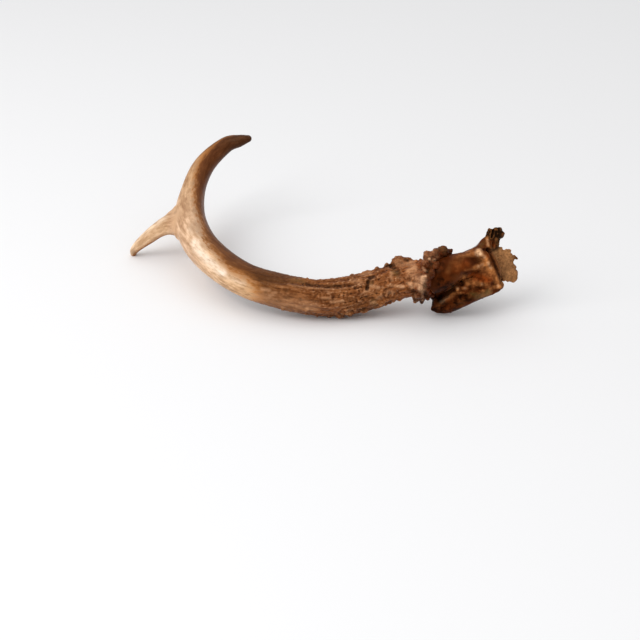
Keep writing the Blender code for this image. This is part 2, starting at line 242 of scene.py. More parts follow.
def smoothPath(points):
    # A Catmull-Rom curve through (x, y, z, radius) points, sampled every mm or so.
    knots = [Vector(point) for point in points]
    knots.insert(0, 2 * knots[0] - knots[1])
    knots.append(2 * knots[-1] - knots[-2])
    samples = []
    for a, b, c, d in zip(knots, knots[1:], knots[2:], knots[3:]):
        count = max(2, round((c.xyz - b.xyz).length))
        for i in range(count):
            t = i / count
            bend = 2 * a - 5 * b + 4 * c - d
            cubic = 3 * b - a - 3 * c + d
            samples.append((2 * b + (c - a) * t + bend * t * t + cubic * t ** 3) / 2)
    samples.append(knots[-2])
    return np.array([list(sample) for sample in samples])


def pathFrames(samples):
    # Along the path, the way nearest to up, the way to the back at its start, and the distance.
    along = np.gradient(samples[:, :3], axis=0)
    along /= np.linalg.norm(along, axis=1, keepdims=True)
    across = np.cross(along, (0, 0, 1))
    across /= np.linalg.norm(across, axis=1, keepdims=True)
    up = np.cross(across, along)
    back = across * np.sign(across[0, 1])
    gaps = np.linalg.norm(np.diff(samples[:, :3], axis=0), axis=1)
    return along, up, back, np.concatenate([[0], np.cumsum(gaps)])


def pathMesh(strands):
    # One mesh of vertex chains that keeps each point's radius as thick.
    mesh = bpy.data.meshes.new("strands")
    edges = []
    first = 0
    for strand in strands:
        edges += [(first + i, first + i + 1) for i in range(len(strand) - 1)]
        first += len(strand)
    joined = np.vstack(strands)
    mesh.from_pydata(joined[:, :3].tolist(), edges, [])
    setAttribute(mesh, "thick", joined[:, 3])
    return mesh


def knobMesh(knobs):
    # One vertex a knob: place, radius, stretch and the way it is stretched.
    mesh = bpy.data.meshes.new("knobs")
    at, *measures = zip(*knobs)
    mesh.from_pydata([list(point) for point in at], [], [])
    for name, values in zip(("size", "stretch", "outward"), measures):
        setAttribute(mesh, name, np.array(values, float))
    return mesh


def plainKnobs(rows):
    return [((x, y, z), radius, 1.0, (0, 0, 1)) for x, y, z, radius in rows]


def endKnobs(strand, share=0.98):
    # Balls that round off a tube's ends, a little thinner than the tube.
    return plainKnobs([(*strand[i][:3], strand[i][3] * share) for i in (0, -1)])


sweepSizes = {"Sides": 48}


def makeSweepTree(material):
    # Sweeps a circle along each chain, as thick as the chain says.
    tree, add, sizes = newTree("sweepHorn", sweepSizes)
    curve = add("GeometryNodeMeshToCurve", None, {"Mesh": sizes["Geometry"]})
    thick = add("GeometryNodeInputNamedAttribute", {"data_type": "FLOAT"}, {"Name": "thick"})
    sized = add("GeometryNodeSetCurveRadius", None, {"Curve": curve, "Radius": thick})
    spline = add("GeometryNodeSplineParameter")
    marked = add("GeometryNodeStoreNamedAttribute", {"data_type": "FLOAT", "domain": "POINT"},
                 {"Geometry": sized, "Name": "along", "Value": spline.outputs["Length"]})
    circle = add("GeometryNodeCurvePrimitiveCircle", None,
                 {"Resolution": sizes["Sides"], "Radius": 1.0})
    radius = add("GeometryNodeInputRadius")
    tube = add("GeometryNodeCurveToMesh", None,
               {"Curve": marked, "Profile Curve": circle, "Scale": radius, "Fill Caps": True})
    endTree(add, tube, material)
    return tree


knobSizes = {"Lumpiness": 0.5, "Lump Gap": 2.6, "Detail": 3}
plainSizes = {**knobSizes, "Lumpiness": 0.0}


def makeKnobTree(material):
    # A lumpy ball on each point, turned and stretched as the point says.
    tree, add, sizes = newTree("lumpyKnobs", knobSizes)
    size, stretch, outward = [
        add("GeometryNodeInputNamedAttribute", {"data_type": kind}, {"Name": name})
        for name, kind in (("size", "FLOAT"), ("stretch", "FLOAT"), ("outward", "FLOAT_VECTOR"))]
    ball = add("GeometryNodeMeshIcoSphere", None, {"Radius": 1.0, "Subdivisions": sizes["Detail"]})
    turn = add("FunctionNodeAlignRotationToVector", {"axis": "Z"}, {"Vector": outward})
    length = add("ShaderNodeMath", {"operation": "MULTIPLY"}, (size, stretch))
    scale = add("ShaderNodeCombineXYZ", None, (size, size, length))
    balls = add("GeometryNodeInstanceOnPoints", None,
                {"Points": sizes["Geometry"], "Instance": ball, "Rotation": turn, "Scale": scale})
    real = add("GeometryNodeRealizeInstances", None, {"Geometry": balls})
    swell = addRelief(add, add("GeometryNodeInputPosition"), sizes["Lump Gap"], 1.0)
    for factor in (sizes["Lumpiness"], size):
        swell = add("ShaderNodeMath", {"operation": "MULTIPLY"}, (swell, factor))
    endTree(add, pushOut(add, real, swell), material)
    return tree


def makeBeadTree(name, defaults, material):
    # Beads scattered over a surface, thicker and larger where its along is small.
    tree, add, sizes = newTree(name, defaults)
    far = add("GeometryNodeInputNamedAttribute", {"data_type": "FLOAT"}, {"Name": "along"})
    near = add("ShaderNodeMapRange", None, (far, sizes["Reach"], 0.0))
    points = add("GeometryNodeDistributePointsOnFaces", {"distribute_method": "POISSON"},
                 {"Mesh": sizes["Geometry"], "Distance Min": sizes["Least Gap"],
                  "Density Max": sizes["Most"], "Density Factor": near, "Seed": sizes["Seed"]})
    ball = add("GeometryNodeMeshIcoSphere", None, {"Radius": 1.0, "Subdivisions": 2})
    chance = add("FunctionNodeRandomValue", {"data_type": "FLOAT"},
                 {"Min": sizes["Small"], "Max": sizes["Large"], "Seed": sizes["Seed"]})
    nearer = add("ShaderNodeMapRange", None, (far, sizes["Reach"], 0.0, sizes["Far Share"]))
    size = add("ShaderNodeMath", {"operation": "MULTIPLY"}, (chance, nearer))
    length = add("ShaderNodeMath", {"operation": "MULTIPLY"}, (size, sizes["Stretch"]))
    scale = add("ShaderNodeCombineXYZ", None, (size, size, length))
    balls = add("GeometryNodeInstanceOnPoints", None,
                {"Points": points, "Instance": ball, "Rotation": points.outputs["Rotation"],
                 "Scale": scale})
    endTree(add, balls, material)
    return tree


def keepLargest(mesh):
    # Drops the small closed shells that overlapping shapes leave inside a skin.
    shape = bmesh.new()
    shape.from_mesh(mesh)
    left = set(shape.verts)
    islands = []
    while left:
        island = [left.pop()]
        for vert in island:
            for edge in vert.link_edges:
                other = edge.other_vert(vert)
                if other in left:
                    left.remove(other)
                    island.append(other)
        islands.append(island)
    islands.sort(key=len)
    for island in islands[:-1]:
        bmesh.ops.delete(shape, geom=island, context="VERTS")
    shape.to_mesh(mesh)
    shape.free()
    return mesh


def fuse(meshes, voxel, rounds):
    # One closed skin round everything, eased so that knobs grow out of their ground.
    shape = bmesh.new()
    for mesh in meshes:
        shape.from_mesh(mesh)
    joined = bpy.data.meshes.new("joined")
    shape.to_mesh(joined)
    shape.free()
    item = linked("fusing", joined)
    skin = item.modifiers.new("Fuse", "REMESH")
    skin.mode = "VOXEL"
    skin.voxel_size = voxel
    ease = item.modifiers.new("Ease", "SMOOTH")
    ease.factor = 0.5
    ease.iterations = rounds
    return keepLargest(finished(item))


def thin(mesh, triangles):
    # Fewer faces where a surface is plain.
    item = linked("thinning", mesh)
    thinned = item.modifiers.new("Thin", "DECIMATE")
    mesh.calc_loop_triangles()
    thinned.ratio = min(1, triangles / len(mesh.loop_triangles))
    thinned.use_collapse_triangulate = True
    return finished(item)


def setDip(mesh, fine, broad):
    # How deep a vertex lies under the eased surface; below nought it stands out.
    at = places(mesh)
    out = normals(mesh)
    near = eased(mesh, at, fine)
    far = eased(mesh, near, broad)
    setAttribute(mesh, "dip", ((near - at) * out).sum(1))
    setAttribute(mesh, "hollow", ((far - at) * out).sum(1))


def place(mesh, name, material, body, slot, *nodes):
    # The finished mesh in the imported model's frame, on the floor and riding its body.
    mesh.transform(Matrix.Scale(mm, 4) @ Matrix.Translation(frameShift))
    at = places(mesh)
    at[:, 2] = np.maximum(at[:, 2], 0)
    setPlaces(mesh, at)
    mesh.shade_smooth()
    mesh.materials.clear()
    mesh.materials.append(material)
    piece = linked(name, mesh)
    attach(piece, body)
    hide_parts(*nodes)


def startMaterial(name, look, measures):
    # A material with the numbers that are the same all over it, and the mesh's own measures.
    material = bpy.data.materials.new(name)
    material.use_nodes = True
    tree = material.node_tree
    shader = tree.nodes["Principled BSDF"]
    shader.inputs["IOR"].default_value = look["ior"]
    shader.inputs["Specular IOR Level"].default_value = look["shine"]
    shader.inputs["Specular Tint"].default_value = toLinear(look["shineColour"])
    add = partial(addNode, tree)
    measured = {measure: add("ShaderNodeAttribute", {"attribute_name": measure}).outputs["Fac"]
                for measure in measures}
    return material, shader, add, measured


def addWearAndShading(add, colour, measured, look):
    # What lies high is lighter, as rubbed wear and painted highlight, and what lies deep is darker, as dirt
    # and painted shade.
    for name, start, end, most, shade in look["wearAndShading"]:
        share = add("ShaderNodeMapRange", None, (measured[name], start, end, 0.0, most))
        colour = add("ShaderNodeMix", {"data_type": "RGBA"},
                     {"Factor": share, "A": colour, "B": look[shade]})
    return colour


def addMarks(add, colour, measured, noise, look, names):
    # Lays each kind of mark over a colour, broken up by a noise.
    broken = add("ShaderNodeMapRange", None, (noise, *view["breaks"]))
    for name in names:
        share = add("ShaderNodeMath", {"operation": "MULTIPLY"}, (measured[name], broken))
        colour = add("ShaderNodeMix", {"data_type": "RGBA"},
                     {"Factor": share, "A": colour, "B": look[name]})
    return colour


def endMaterial(add, shader, colour, rough, grain, look):
    # Links the colour, the roughness and the fine relief of a grain to the shader.
    links = shader.id_data.links
    bump = add("ShaderNodeBump", None,
               {"Height": grain, "Distance": look["bumpHeight"] * mm, "Strength": look["bump"]})
    links.new(colour.outputs[2], shader.inputs["Base Color"])
    links.new(rough.outputs[0], shader.inputs["Roughness"])
    links.new(bump.outputs[0], shader.inputs["Normal"])


antlerLook = {
    "length": 345,              # mm from the seam to the hook's tip, the ramps' whole run
    "pale": (
        (0.0, "#a86c44"), (0.1, "#a66a40"), (0.28, "#a2693f"), (0.37, "#cda277"), (0.45, "#d8b18a"),
        (0.54, "#d5ae8b"), (0.62, "#d3ab88"), (0.8, "#caa078"), (0.9, "#946439"), (0.97, "#56321c")),
    "amber": "#a76b37",
    "brown": (
        (0.0, "#561f06"), (0.02, "#6c310f"), (0.045, "#844922"), (0.14, "#834d27"), (0.25, "#7e4925"),
        (0.36, "#5f3618"), (0.6, "#6f401f"), (0.8, "#6c3c1c"), (0.9, "#5c3219"), (0.97, "#4e2d19")),
    # dirt and sap in furrows and hollows, and painted shade there
    "furrow": "#34170a",
    # crest grains, lighter as wear and as painted highlight
    "crest": "#dca67a",
    # rubbed horn, lighter as wear and in part as painted highlight
    "rubbed": "#d8a276",
    # painted highlights, where the surface catches the light
    "bright": "#fcc79a",
    # pale polished horn, with a painted highlight on it
    "polished": "#f6e4cf",
    # dark stain, and painted shade in creases, pits and under the beam
    "stain": "#2e1708",
    "olive": "#6b5a34",
    # Noises along the grain: mm between their spots, detail and roughness.
    "streaks": (1.7, 4.0, 0.6),
    "mottle": (3.8, 4.0, 0.65),
    "patches": (9.0, 3.0, 0.6),
    "pores": (1.1, 2.0, 0.5),   # drawn coarser than real pores
    "glints": (1.8, 2.0, 0.6),  # the grains that are lighter as wear and as painted highlight, not drawn out along the horn
    # What streaks, mottle and patches make of the tone: from, to, darkest, lightest.
    "tones": ((0.34, 0.66, 0.6, 1.4), (0.34, 0.66, 0.68, 1.3), (0.3, 0.7, 0.74, 1.22)),
    "warmth": (0.9, 1.15, 1.4),  # how strongly red, green and blue follow the tone
    "fray": (1.1, 0.9, 0.6),    # how far streaks, mottle and patches move the sap's line
    "sapAndShadeSteps": ((1.0, 1.4), (1.2, 1.65)),  # where pale turns to amber, and amber to brown
    "wornAndLit": (-0.03, -0.4),      # mm that a crest stands out, from where its wear and painted highlight begin to where they are full
    "glintTone": (0.42, 0.66, 0.1, 0.8),
    # furrows and hollows are darker, as dirt and as painted shade
    "wearAndShading": (("dip", 0.02, 0.28, 0.85, "furrow"), ("hollow", 0.2, 1.6, 0.85, "furrow")),
    "polishAndHighlightBreaks": (0.36, 0.6, 0.3, 1.0),
    "roughness": (0.3, 0.7, 0.3, 0.5),  # the streaks from and to, smoothest, roughest
    "polish": 0.14,             # how much smoother the polished horn is
    "ior": 1.54,                # typical of horn and bone
    "shine": 0.15,              # the dirt takes off most of the gloss, and warms it
    "shineColour": "#f0c8a0",
    "bumpHeight": 0.2,          # mm
    "bump": 0.5,
}


def makeAntlerMaterial():
    # Weathered antler: bone that grew under velvet and was then rubbed on trees. The
    # outer side is pale and polished, sap and dirt stay brown in furrows and inside; the
    # brown inside and the dark furrows and hollows are in part painted shade, and the
    # pale crests and polished patches carry painted highlights.
    look = antlerLook
    material, shader, add, measured = startMaterial(
        "Weathered antler", look,
        ("along", "sap", "dip", "hollow", "streaky", "glinting", "apart", "polished", *antler["marks"]))
    grain = add("ShaderNodeAttribute", {"attribute_name": "grain"}).outputs["Vector"]
    at = add("ShaderNodeTexCoord").outputs["Object"]
    streaks, mottle, patches, pores, glints = [
        add("ShaderNodeTexNoise", None,
            {"Vector": way, "Scale": 1 / (look[name][0] * unit), "Detail": look[name][1],
             "Roughness": look[name][2]})
        for name, way, unit in (("streaks", grain, 1), ("mottle", grain, 1), ("patches", grain, 1),
                                ("pores", grain, 1), ("glints", at, mm))]

    # the line where the brown begins, the sap's colour and in part painted shade on the bay's side, is
    # frayed by the streaks and wanders with the patches
    line = measured["sap"]
    for noise, share in zip((streaks, mottle, patches), look["fray"]):
        line = add("ShaderNodeMath", {"operation": "MULTIPLY_ADD"}, (noise, share, line))
    far = add("ShaderNodeMath", {"operation": "DIVIDE"}, (measured["along"], look["length"]))
    colour = add("ShaderNodeValToRGB", None, (far,), look["pale"])
    brown = add("ShaderNodeValToRGB", None, (far,), look["brown"])
    for (start, end), shade in zip(look["sapAndShadeSteps"], (look["amber"], brown)):
        share = add("ShaderNodeMapRange", {"interpolation_type": "SMOOTHSTEP"}, (line, start, end))
        colour = add("ShaderNodeMix", {"data_type": "RGBA"}, {"Factor": share, "A": colour, "B": shade})

    streak, fine, patch = [add("ShaderNodeMapRange", None, (noise, *tone))
                           for noise, tone in zip((streaks, mottle, patches), look["tones"])]
    tone = add("ShaderNodeMix", {"data_type": "FLOAT"},
               {"Factor": measured["streaky"], "A": 1.0, "B": streak})
    for factor in (patch, fine):
        tone = add("ShaderNodeMath", {"operation": "MULTIPLY"}, (tone, factor))
    tone = add("ShaderNodeMix", {"data_type": "FLOAT"}, {"Factor": measured["apart"], "A": 1.0, "B": tone})
    # what is darker is warmer too
    toned = add("ShaderNodeCombineColor", None,
                [add("ShaderNodeMath", {"operation": "POWER"}, (tone, power)) for power in look["warmth"]])
    colour = add("ShaderNodeMix", {"data_type": "RGBA", "blend_type": "MULTIPLY"},
                 {"Factor": 1.0, "A": colour, "B": toned})

    # crests are lighter in grains, as wear and as painted highlight; furrows and hollows are darker, as
    # dirt and as painted shade
    high = add("ShaderNodeMapRange", None, (measured["dip"], *look["wornAndLit"]))
    bright = add("ShaderNodeMapRange", None, (glints, *look["glintTone"]))
    for factor in (bright, measured["glinting"]):
        high = add("ShaderNodeMath", {"operation": "MULTIPLY"}, (high, factor))
    colour = add("ShaderNodeMix", {"data_type": "RGBA"},
                 {"Factor": high, "A": colour, "B": look["crest"]})
    colour = addWearAndShading(add, colour, measured, look)
    colour = addMarks(add, colour, measured, mottle, look, antler["marks"])
    # pale polished horn and its painted highlight, broken up by the streaks
    thinner = add("ShaderNodeMapRange", None, (streaks, *look["polishAndHighlightBreaks"]))
    smooth = add("ShaderNodeMath", {"operation": "MULTIPLY"}, (measured["polished"], thinner))
    colour = add("ShaderNodeMix", {"data_type": "RGBA"},
                 {"Factor": smooth, "A": colour, "B": look["polished"]})

    rough = add("ShaderNodeMapRange", None, (streaks, *look["roughness"]))
    rough = add("ShaderNodeMath", {"operation": "MULTIPLY_ADD"},
                (measured["polished"], -look["polish"], rough))
    endMaterial(add, shader, colour, rough, pores, look)
    return material


antler = {
    # From inside the burr to the fork, and on into the hook: x, y, z, radius.
    "beam": (
        (75.2, 4, 28.5, 13.0), (70.8, 6.2, 29.2, 13.0), (61, 10, 27.2, 12.2), (45, 11.5, 22.8, 12.2),
        (23, 9, 16.4, 12.6), (-5, 5, 15.2, 12.4), (-33, 9.5, 17.9, 12.3), (-62, 25, 21.2, 12.0),
        (-89, 60.5, 25.5, 12.4), (-102.6, 100, 31, 12.0), (-103.4, 137, 40, 9.4), (-96, 161.6, 52, 8.2),
        (-80, 173.5, 64, 6.4), (-68.5, 172.8, 68.2, 4.8), (-61.6, 172.8, 70, 2.9)),
    "shortTine": (
        (-105, 100, 29.5, 9.5), (-112, 100, 28.5, 9.0), (-120, 101, 27.6, 7.6), (-128, 101.5, 23, 6.2),
        (-136, 102.5, 16.4, 5.2), (-142.5, 103.5, 10.6, 4.2), (-147.3, 105, 5, 3.2),
        (-148.3, 106, 1.6, 2.5)),
    "forkWeb": ((-111, 110, 33, 7.5), (-116, 105, 31.5, 6.5), (-108, 90, 26.5, 7.0)),
    "forkEasing": ((((-106, 100, 30), (-116, 100, 28)), 24, 1.0),),
    "forkRounds": 90,
    "burrEasing": ((((60, 6, 28), (80, 4, 34)), 34, 1.0),),
    "burrRounds": 9,
    "bigLumps": (
        (61.6, 3, 13.2, 1.9), (62.2, 4, 16.4, 2.6), (66.0, 4, 11.8, 1.7), (65.8, 5, 15.0, 2.5),
        (50.3, 18.4, 34.0, 6.2), (56, 17, 35.4, 5.2), (44, 20, 28, 4.0), (46, 3, 16.8, 3.4),
        (37, 1.5, 12.8, 3.2), (25.6, 0, 8.6, 3.0), (37.6, 1, 12.2, 2.4), (15.5, -1, 6.2, 2.9),
        (9, 1, 4.6, 3.4), (2, 3, 4.2, 3.4), (-7, 1, 4.8, 2.4), (-16, 1.5, 5.8, 2.0), (40, 0, 21, 3.0),
        (-30.6, 0, 9.8, 2.0), (-21.6, -1, 8.7, 2.0), (-36, 1, 11.8, 1.6), (-26, -0.6, 9.0, 1.4),
        (-11.5, 1, 6.4, 1.8), (17.2, 14.3, 27.4, 1.6), (28, 15.8, 29.4, 1.8), (35, 16.6, 31.4, 2.2),
        (42, 17.3, 33.8, 2.2), (51.4, 6, 18, 1.6)),
    # Degrees round the beam from the top towards the back, and where each ridge runs.
    "ridges": (
        (-115, 8, 84), (-92, 40, 128), (-70, 10, 96), (-48, 30, 150), (-22, 12, 92), (4, 26, 122),
        (34, 10, 104), (66, 24, 140), (98, 14, 105), (130, 26, 130), (160, 10, 118), (186, 30, 132),
        (214, 12, 110)),
    "ridgeRadius": 2.6,
    "ridgeSink": 1.5,
    "ridgeTip": 0.1,            # radius at both ends
    "ridgeFade": 0.4,           # a lower power fades the ends more suddenly
    "ridgeWander": 6,           # degrees to either side
    "ridgeWave": 0.06,          # radians for each mm along the beam
    "thinSides": 16,
    "voxel": 0.5,
    "easing": 4,
    "triangles": 192000,
    "stretch": 0.27,            # the grain is drawn longer than wide by one over this
    "dipRounds": (10, 60),      # rounds of easing that tell furrows, and then hollows
    "bayCentre": (-30, 75, 30),
    "tineBrown": (0.3, 0.0, -0.95),  # the way to the short tine's brown side, its underside, brown in part as painted shade
    "tineTone": 158,            # mm along the beam where the horn has the short tine's colours
    "tinePaler": 0.35,          # how much less of the short tine's side is brown
    "forkBlend": 8,             # mm over which the beam's colours turn to the short tine's
    "forkPlain": 5,             # mm from the fork's line where the grain is whole again
    "roughFade": (60, 165, 0.08),  # mm along where the roughness fades, and what is left of it
    "streakyFade": (110, 190, 0.4),
    "burrGlint": 0.15,          # how much of the glints the burr has
    "burrReach": 16,            # mm along where they are all there
    # Where the brown begins round the horn: -1 is the outer side and 1 the bay's side. The brown is the
    # sap's colour, and in part painted shade on the shaded bay's side.
    "sapAndShadeLine": (
        (0, -1.7), (112, -1.5), (120, -1.1), (125, -0.88), (130, -0.7), (140, -0.58), (147, -0.6),
        (157, -0.48), (165, -0.28), (175, -0.14), (184, 0.0), (195, 0.2), (210, 0.42), (218, 0.48),
        (232, 0.5), (256, 0.42), (280, 0.25), (300, 0.1), (315, -0.1), (330, -0.5), (340, -1.2),
        (350, -1.7)),
    # Strokes on the picture, in its pixels: heights in mm, then what is worn bright and painted with
    # highlights, dark with stain and painted shade, or mossy.
    "relief": (
        (((288, 284.5), (305, 287.5), (320, 289), (340, 289), (352, 287), (364, 285)), 1.7, 0.7),
        (((331, 302), (343, 301)), 2.2, 0.5), (((409, 271), (414, 268)), 4, 0.8),
        (((414, 278), (417, 279)), 3, 0.7), (((410, 284), (416, 284)), 2.4, 0.7),
        (((423, 278), (423, 282)), 2.4, 1.0), (((420, 289),), 2, 0.9), (((429, 260),), 2.4, 0.8),
        (((371, 286), (379, 288)), 2, 0.5), (((391, 285), (403, 287)), 2, 0.5),
        (((304, 284), (312, 285), (325, 286.5), (340, 286)), 3.2, -0.8),
        (((375, 276.5), (370, 278), (368, 282), (367, 289)), 2.4, -1.0),
        (((391, 266), (397, 269), (399, 273)), 3.0, -0.9), (((405, 260), (408, 261)), 2.4, -0.9),
        (((427, 272),), 2.2, -0.8), (((425, 292), (427, 297)), 2.4, -1.2)),
    # Pale polished horn that also carries a painted highlight.
    "polished": (
        (((195, 243), (197, 249), (203, 255.5), (209, 261.5), (215, 267), (222, 272)), 4.6, 0.85),
        (((222, 272), (229, 277.5), (236, 281), (243, 284)), 3.4, 0.3),
        (((158, 216), (141, 227), (130, 238), (126, 244)), 8, 0.6)),
    "marks": ("olive", "rubbed", "stain", "bright"),
    # Rubbed horn, lighter as real wear and in part as painted highlight.
    "rubbed": (
        (((257, 298), (276, 303), (300, 306), (314, 307)), 6, 0.42),
        (((262, 292), (285, 296), (305, 299)), 4, 0.12),
        (((288, 284.5), (305, 287.5), (320, 289), (340, 289), (352, 287), (364, 285)), 1.2, 0.15),
        (((262, 289), (269, 290)), 2.2, 0.5), (((331, 302), (343, 301)), 1.8, 0.5),
        (((322, 298), (330, 298)), 1.6, 0.45), (((327, 291), (329, 293)), 1.8, 0.45),
        (((365, 292), (369, 290.5)), 2, 0.6), (((371, 286), (379, 288)), 2, 0.6),
        (((347, 312), (350, 310)), 1.8, 0.5), (((375, 302), (371, 303)), 1.8, 0.45),
        (((378, 298), (381, 297)), 2.2, 0.4), (((391, 285), (403, 287)), 2, 0.5),
        (((408, 283), (416, 284), (411, 287)), 2.4, 0.6), (((409, 271), (414, 268)), 3.6, 0.7),
        (((414, 277), (417, 279)), 3, 0.5), (((409, 264), (413, 262)), 2.8, 0.5),
        (((388, 292), (393, 293)), 2.4, 0.4), (((391, 273), (392, 280)), 1.8, 0.5),
        (((402, 279), (398, 278)), 1.8, 0.45), (((283, 308),), 1.8, 0.4), (((296, 311),), 1.8, 0.4),
        (((307, 309),), 2, 0.4), (((362, 274), (370, 272)), 2.4, 0.4), (((361, 283), (352, 280)), 3, 0.3),
        (((275, 293), (270, 296)), 2.2, 0.35), (((397, 262), (403, 264)), 4, 0.35),
        (((434, 260),), 1.8, 0.5), (((426, 252),), 1.8, 0.35), (((437, 257),), 1.5, 0.5),
        (((415, 294), (415, 298)), 1.3, 0.4), (((410, 278), (418, 274)), 5, 0.3),
        (((424, 255), (430, 252), (434, 252)), 4.5, 0.24), (((425, 260), (431, 258)), 3.5, 0.24),
        (((437, 257),), 3, 0.25), (((419, 284), (420, 288)), 3, 0.35)),
    # Painted highlights on the burr's knobs and on the beam.
    "bright": (
        (((422.5, 277.5), (422.5, 282)), 1.7, 1.7), (((422.5, 280), (421.5, 288)), 4.2, 0.6),
        (((420, 288.5),), 1.9, 1.5), (((425.5, 276),), 1.4, 0.8), (((429.5, 259),), 1.5, 0.9),
        (((431.5, 250),), 1.6, 0.6), (((435, 259.5),), 1.2, 0.6), (((423, 268), (426, 271)), 1.4, 0.35),
        (((422.3, 293), (422.5, 300)), 1.3, 0.3), (((410, 285), (412, 287)), 1.8, 0.35),
        (((401, 286), (403, 286.5)), 1.8, 0.35)),
    # Dark stain, and painted shade in troughs, creases, pits, between the burr's knobs and under the beam.
    "stain": (
        (((307, 284.5), (312, 285), (325, 286.5), (338, 286)), 2.1, 0.85),
        (((340, 285.5), (350, 285)), 1.6, 0.5),
        (((374, 277), (370, 278), (368, 282), (367, 289)), 2.1, 1.1),
        (((256, 275), (270, 278), (284, 280)), 5, 0.6), (((425, 262), (428, 272)), 4, 0.22),
        (((430, 274), (430, 286)), 4, 0.28), (((414, 292), (416, 301)), 3.4, 0.9),
        (((420, 293), (424, 303)), 3.6, 0.8), (((427, 288), (425, 292)), 2.6, 0.3),
        (((409, 290), (414, 292)), 2.6, 0.5), (((396, 260), (403, 258)), 5, 0.3),
        (((196, 212), (200, 224)), 4, 0.25), (((194, 228), (203, 235), (207, 243)), 6.5, 0.42),
        (((210, 247), (217, 253), (223, 260)), 4, 0.3), (((159, 215),), 3, 0.3),
        (((346, 304), (370, 304)), 5, 0.3), (((352, 275.5),), 2, 0.6), (((378, 267), (381, 268)), 2, 0.6),
        (((386, 265.5), (393, 265)), 2.2, 0.9), (((391, 266), (398, 270), (399, 274)), 3.2, 0.6),
        (((405, 259.5), (408, 260)), 2, 0.8), (((331, 316), (336, 318)), 2.7, 0.6),
        (((340, 313), (343, 317), (352, 317)), 2.4, 0.85), (((363, 310),), 2.8, 1.1),
        (((358, 308), (372, 309)), 2.4, 0.55), (((321, 316), (312, 314.5)), 1.7, 0.5),
        (((383, 306),), 2.2, 0.5), (((391, 301),), 2.4, 0.7), (((397, 299),), 2, 0.6),
        (((368, 296), (362, 297)), 2.2, 0.5), (((348, 299), (355, 298)), 2, 0.6), (((384, 294),), 2, 0.7),
        (((376, 292),), 2.2, 0.4), (((312, 300), (335, 300)), 1.4, 0.45),
        (((318, 293), (322, 292)), 2.2, 0.35), (((275, 301), (280, 301)), 2, 0.45),
        (((284, 290), (288, 291)), 1.6, 0.45), (((266, 292),), 1.7, 0.4),
        (((286, 298), (292, 297)), 2.2, 0.35), (((306, 298),), 1.8, 0.35),
        (((413, 292), (415, 300)), 2.2, 0.6), (((419, 297), (422, 303)), 1.8, 0.8),
        (((425, 292), (428, 297)), 2.7, 0.9), (((427, 272),), 1.8, 0.8), (((424, 257),), 2.2, 0.4),
        (((438, 253), (436, 256)), 2, 0.7), (((447, 250), (451, 254), (448, 260)), 4.4, 0.95),
        (((444, 256),), 3.2, 0.8), (((434, 274), (436, 287)), 4.4, 0.6),
        (((442, 275), (441, 285)), 4, 0.7), (((432, 264),), 2, 0.7), (((420, 266), (424, 266)), 2.4, 0.4),
        (((405, 277), (410, 280)), 2, 0.35), (((397, 291), (399, 294)), 2.4, 0.35),
        (((248, 137), (252, 138)), 5, 0.5), (((133, 252),), 3, 0.6)),
    "olive": (
        (((440, 248), (445, 250)), 3.4, 0.5), (((431, 266), (438, 264)), 3.4, 0.15),
        (((394, 272), (397, 274)), 3.2, 0.6), (((373, 301), (375, 304)), 3.4, 0.4),
        (((371, 283),), 2.6, 0.4), (((430, 268), (429, 276)), 2.4, 0.15),
        (((291, 280), (303, 281)), 3, 0.3)),
    "burr": {
        "centre": Vector((70.8, 6.2, 28.8)),
        "axis": Vector((0.88, -0.44, -0.13)).normalized(),
        "radius": 14.2,
        "thickness": 3.2,
        "balls": 26,
        "lean": 1.3,            # mm the ring leans towards the skull at its top
        "shifts": (-2.6, 0.8),  # mm that a ball of the ring strays along the axis
        "shares": (0.8, 1.1),   # of the ring's thickness
        # Degrees from the top towards the back, distance, shift along the axis, radius, stretch.
        "knobs": (
            (4, 21.2, 1.0, 3.8, 1.3), (15, 23.6, 4.5, 3.8, 1.3), (24, 21.2, 2.0, 3.8, 1.3),
            (30, 22.2, 6.4, 3.2, 1.2), (45, 19.5, 4.0, 3.6, 1.3), (-8, 20.0, -3.4, 3.3, 1.4),
            (10, 17.5, 2.0, 4.2, 1.0), (30, 17.5, 4.0, 4.2, 1.0), (66, 18.5, -1.0, 3.4, 1.1),
            (95, 19.0, 1.0, 3.2, 1.3), (130, 17.5, -2.5, 3.4, 1.1), (158, 15.5, -2.5, 2.8, 1.2),
            (222, 16.5, -3.5, 3.0, 1.2), (248, 17.5, -0.5, 3.4, 1.0), (275, 18.0, -1.5, 3.0, 1.1),
            (302, 18.0, 1.5, 3.4, 1.0), (330, 19.0, -2.0, 3.2, 1.2), (234, 14.2, 3.0, 2.3, 1.0),
            (262, 14.8, 3.8, 2.6, 1.0), (290, 15.4, 4.0, 2.6, 1.0), (316, 16.2, 4.4, 3.0, 1.0),
            (342, 17.0, 4.4, 2.8, 1.0)),
        "sunk": 0.5,            # how much of its radius a knob is sunk in the ring
        # Smaller knobs crowd on those that are stretched.
        "crowd": 3,
        "crowdOut": 0.35,
        "crowdAside": 0.75,
        "crowdShares": (0.35, 0.55),
        "crowdStretch": 1.1,
        "seed": 11,
    },
    "pearls": {"Reach": 125.0, "Least Gap": 2.3, "Most": 0.06, "Small": 0.9, "Large": 2.2,
               "Far Share": 0.55, "Stretch": 1.0, "Seed": 7},
    "furrows": {"Swell": 1.5, "Swell Gap": 5.0, "Depth": 0.6, "Gap": 2.2, "Steepness": 4.0,
                "Crest": 0.6, "Middle": 0.4, "Grit": 1.1, "Grit Gap": 1.8,
                "Bead Height": 1.0, "Bead Gap": 3.4},
}


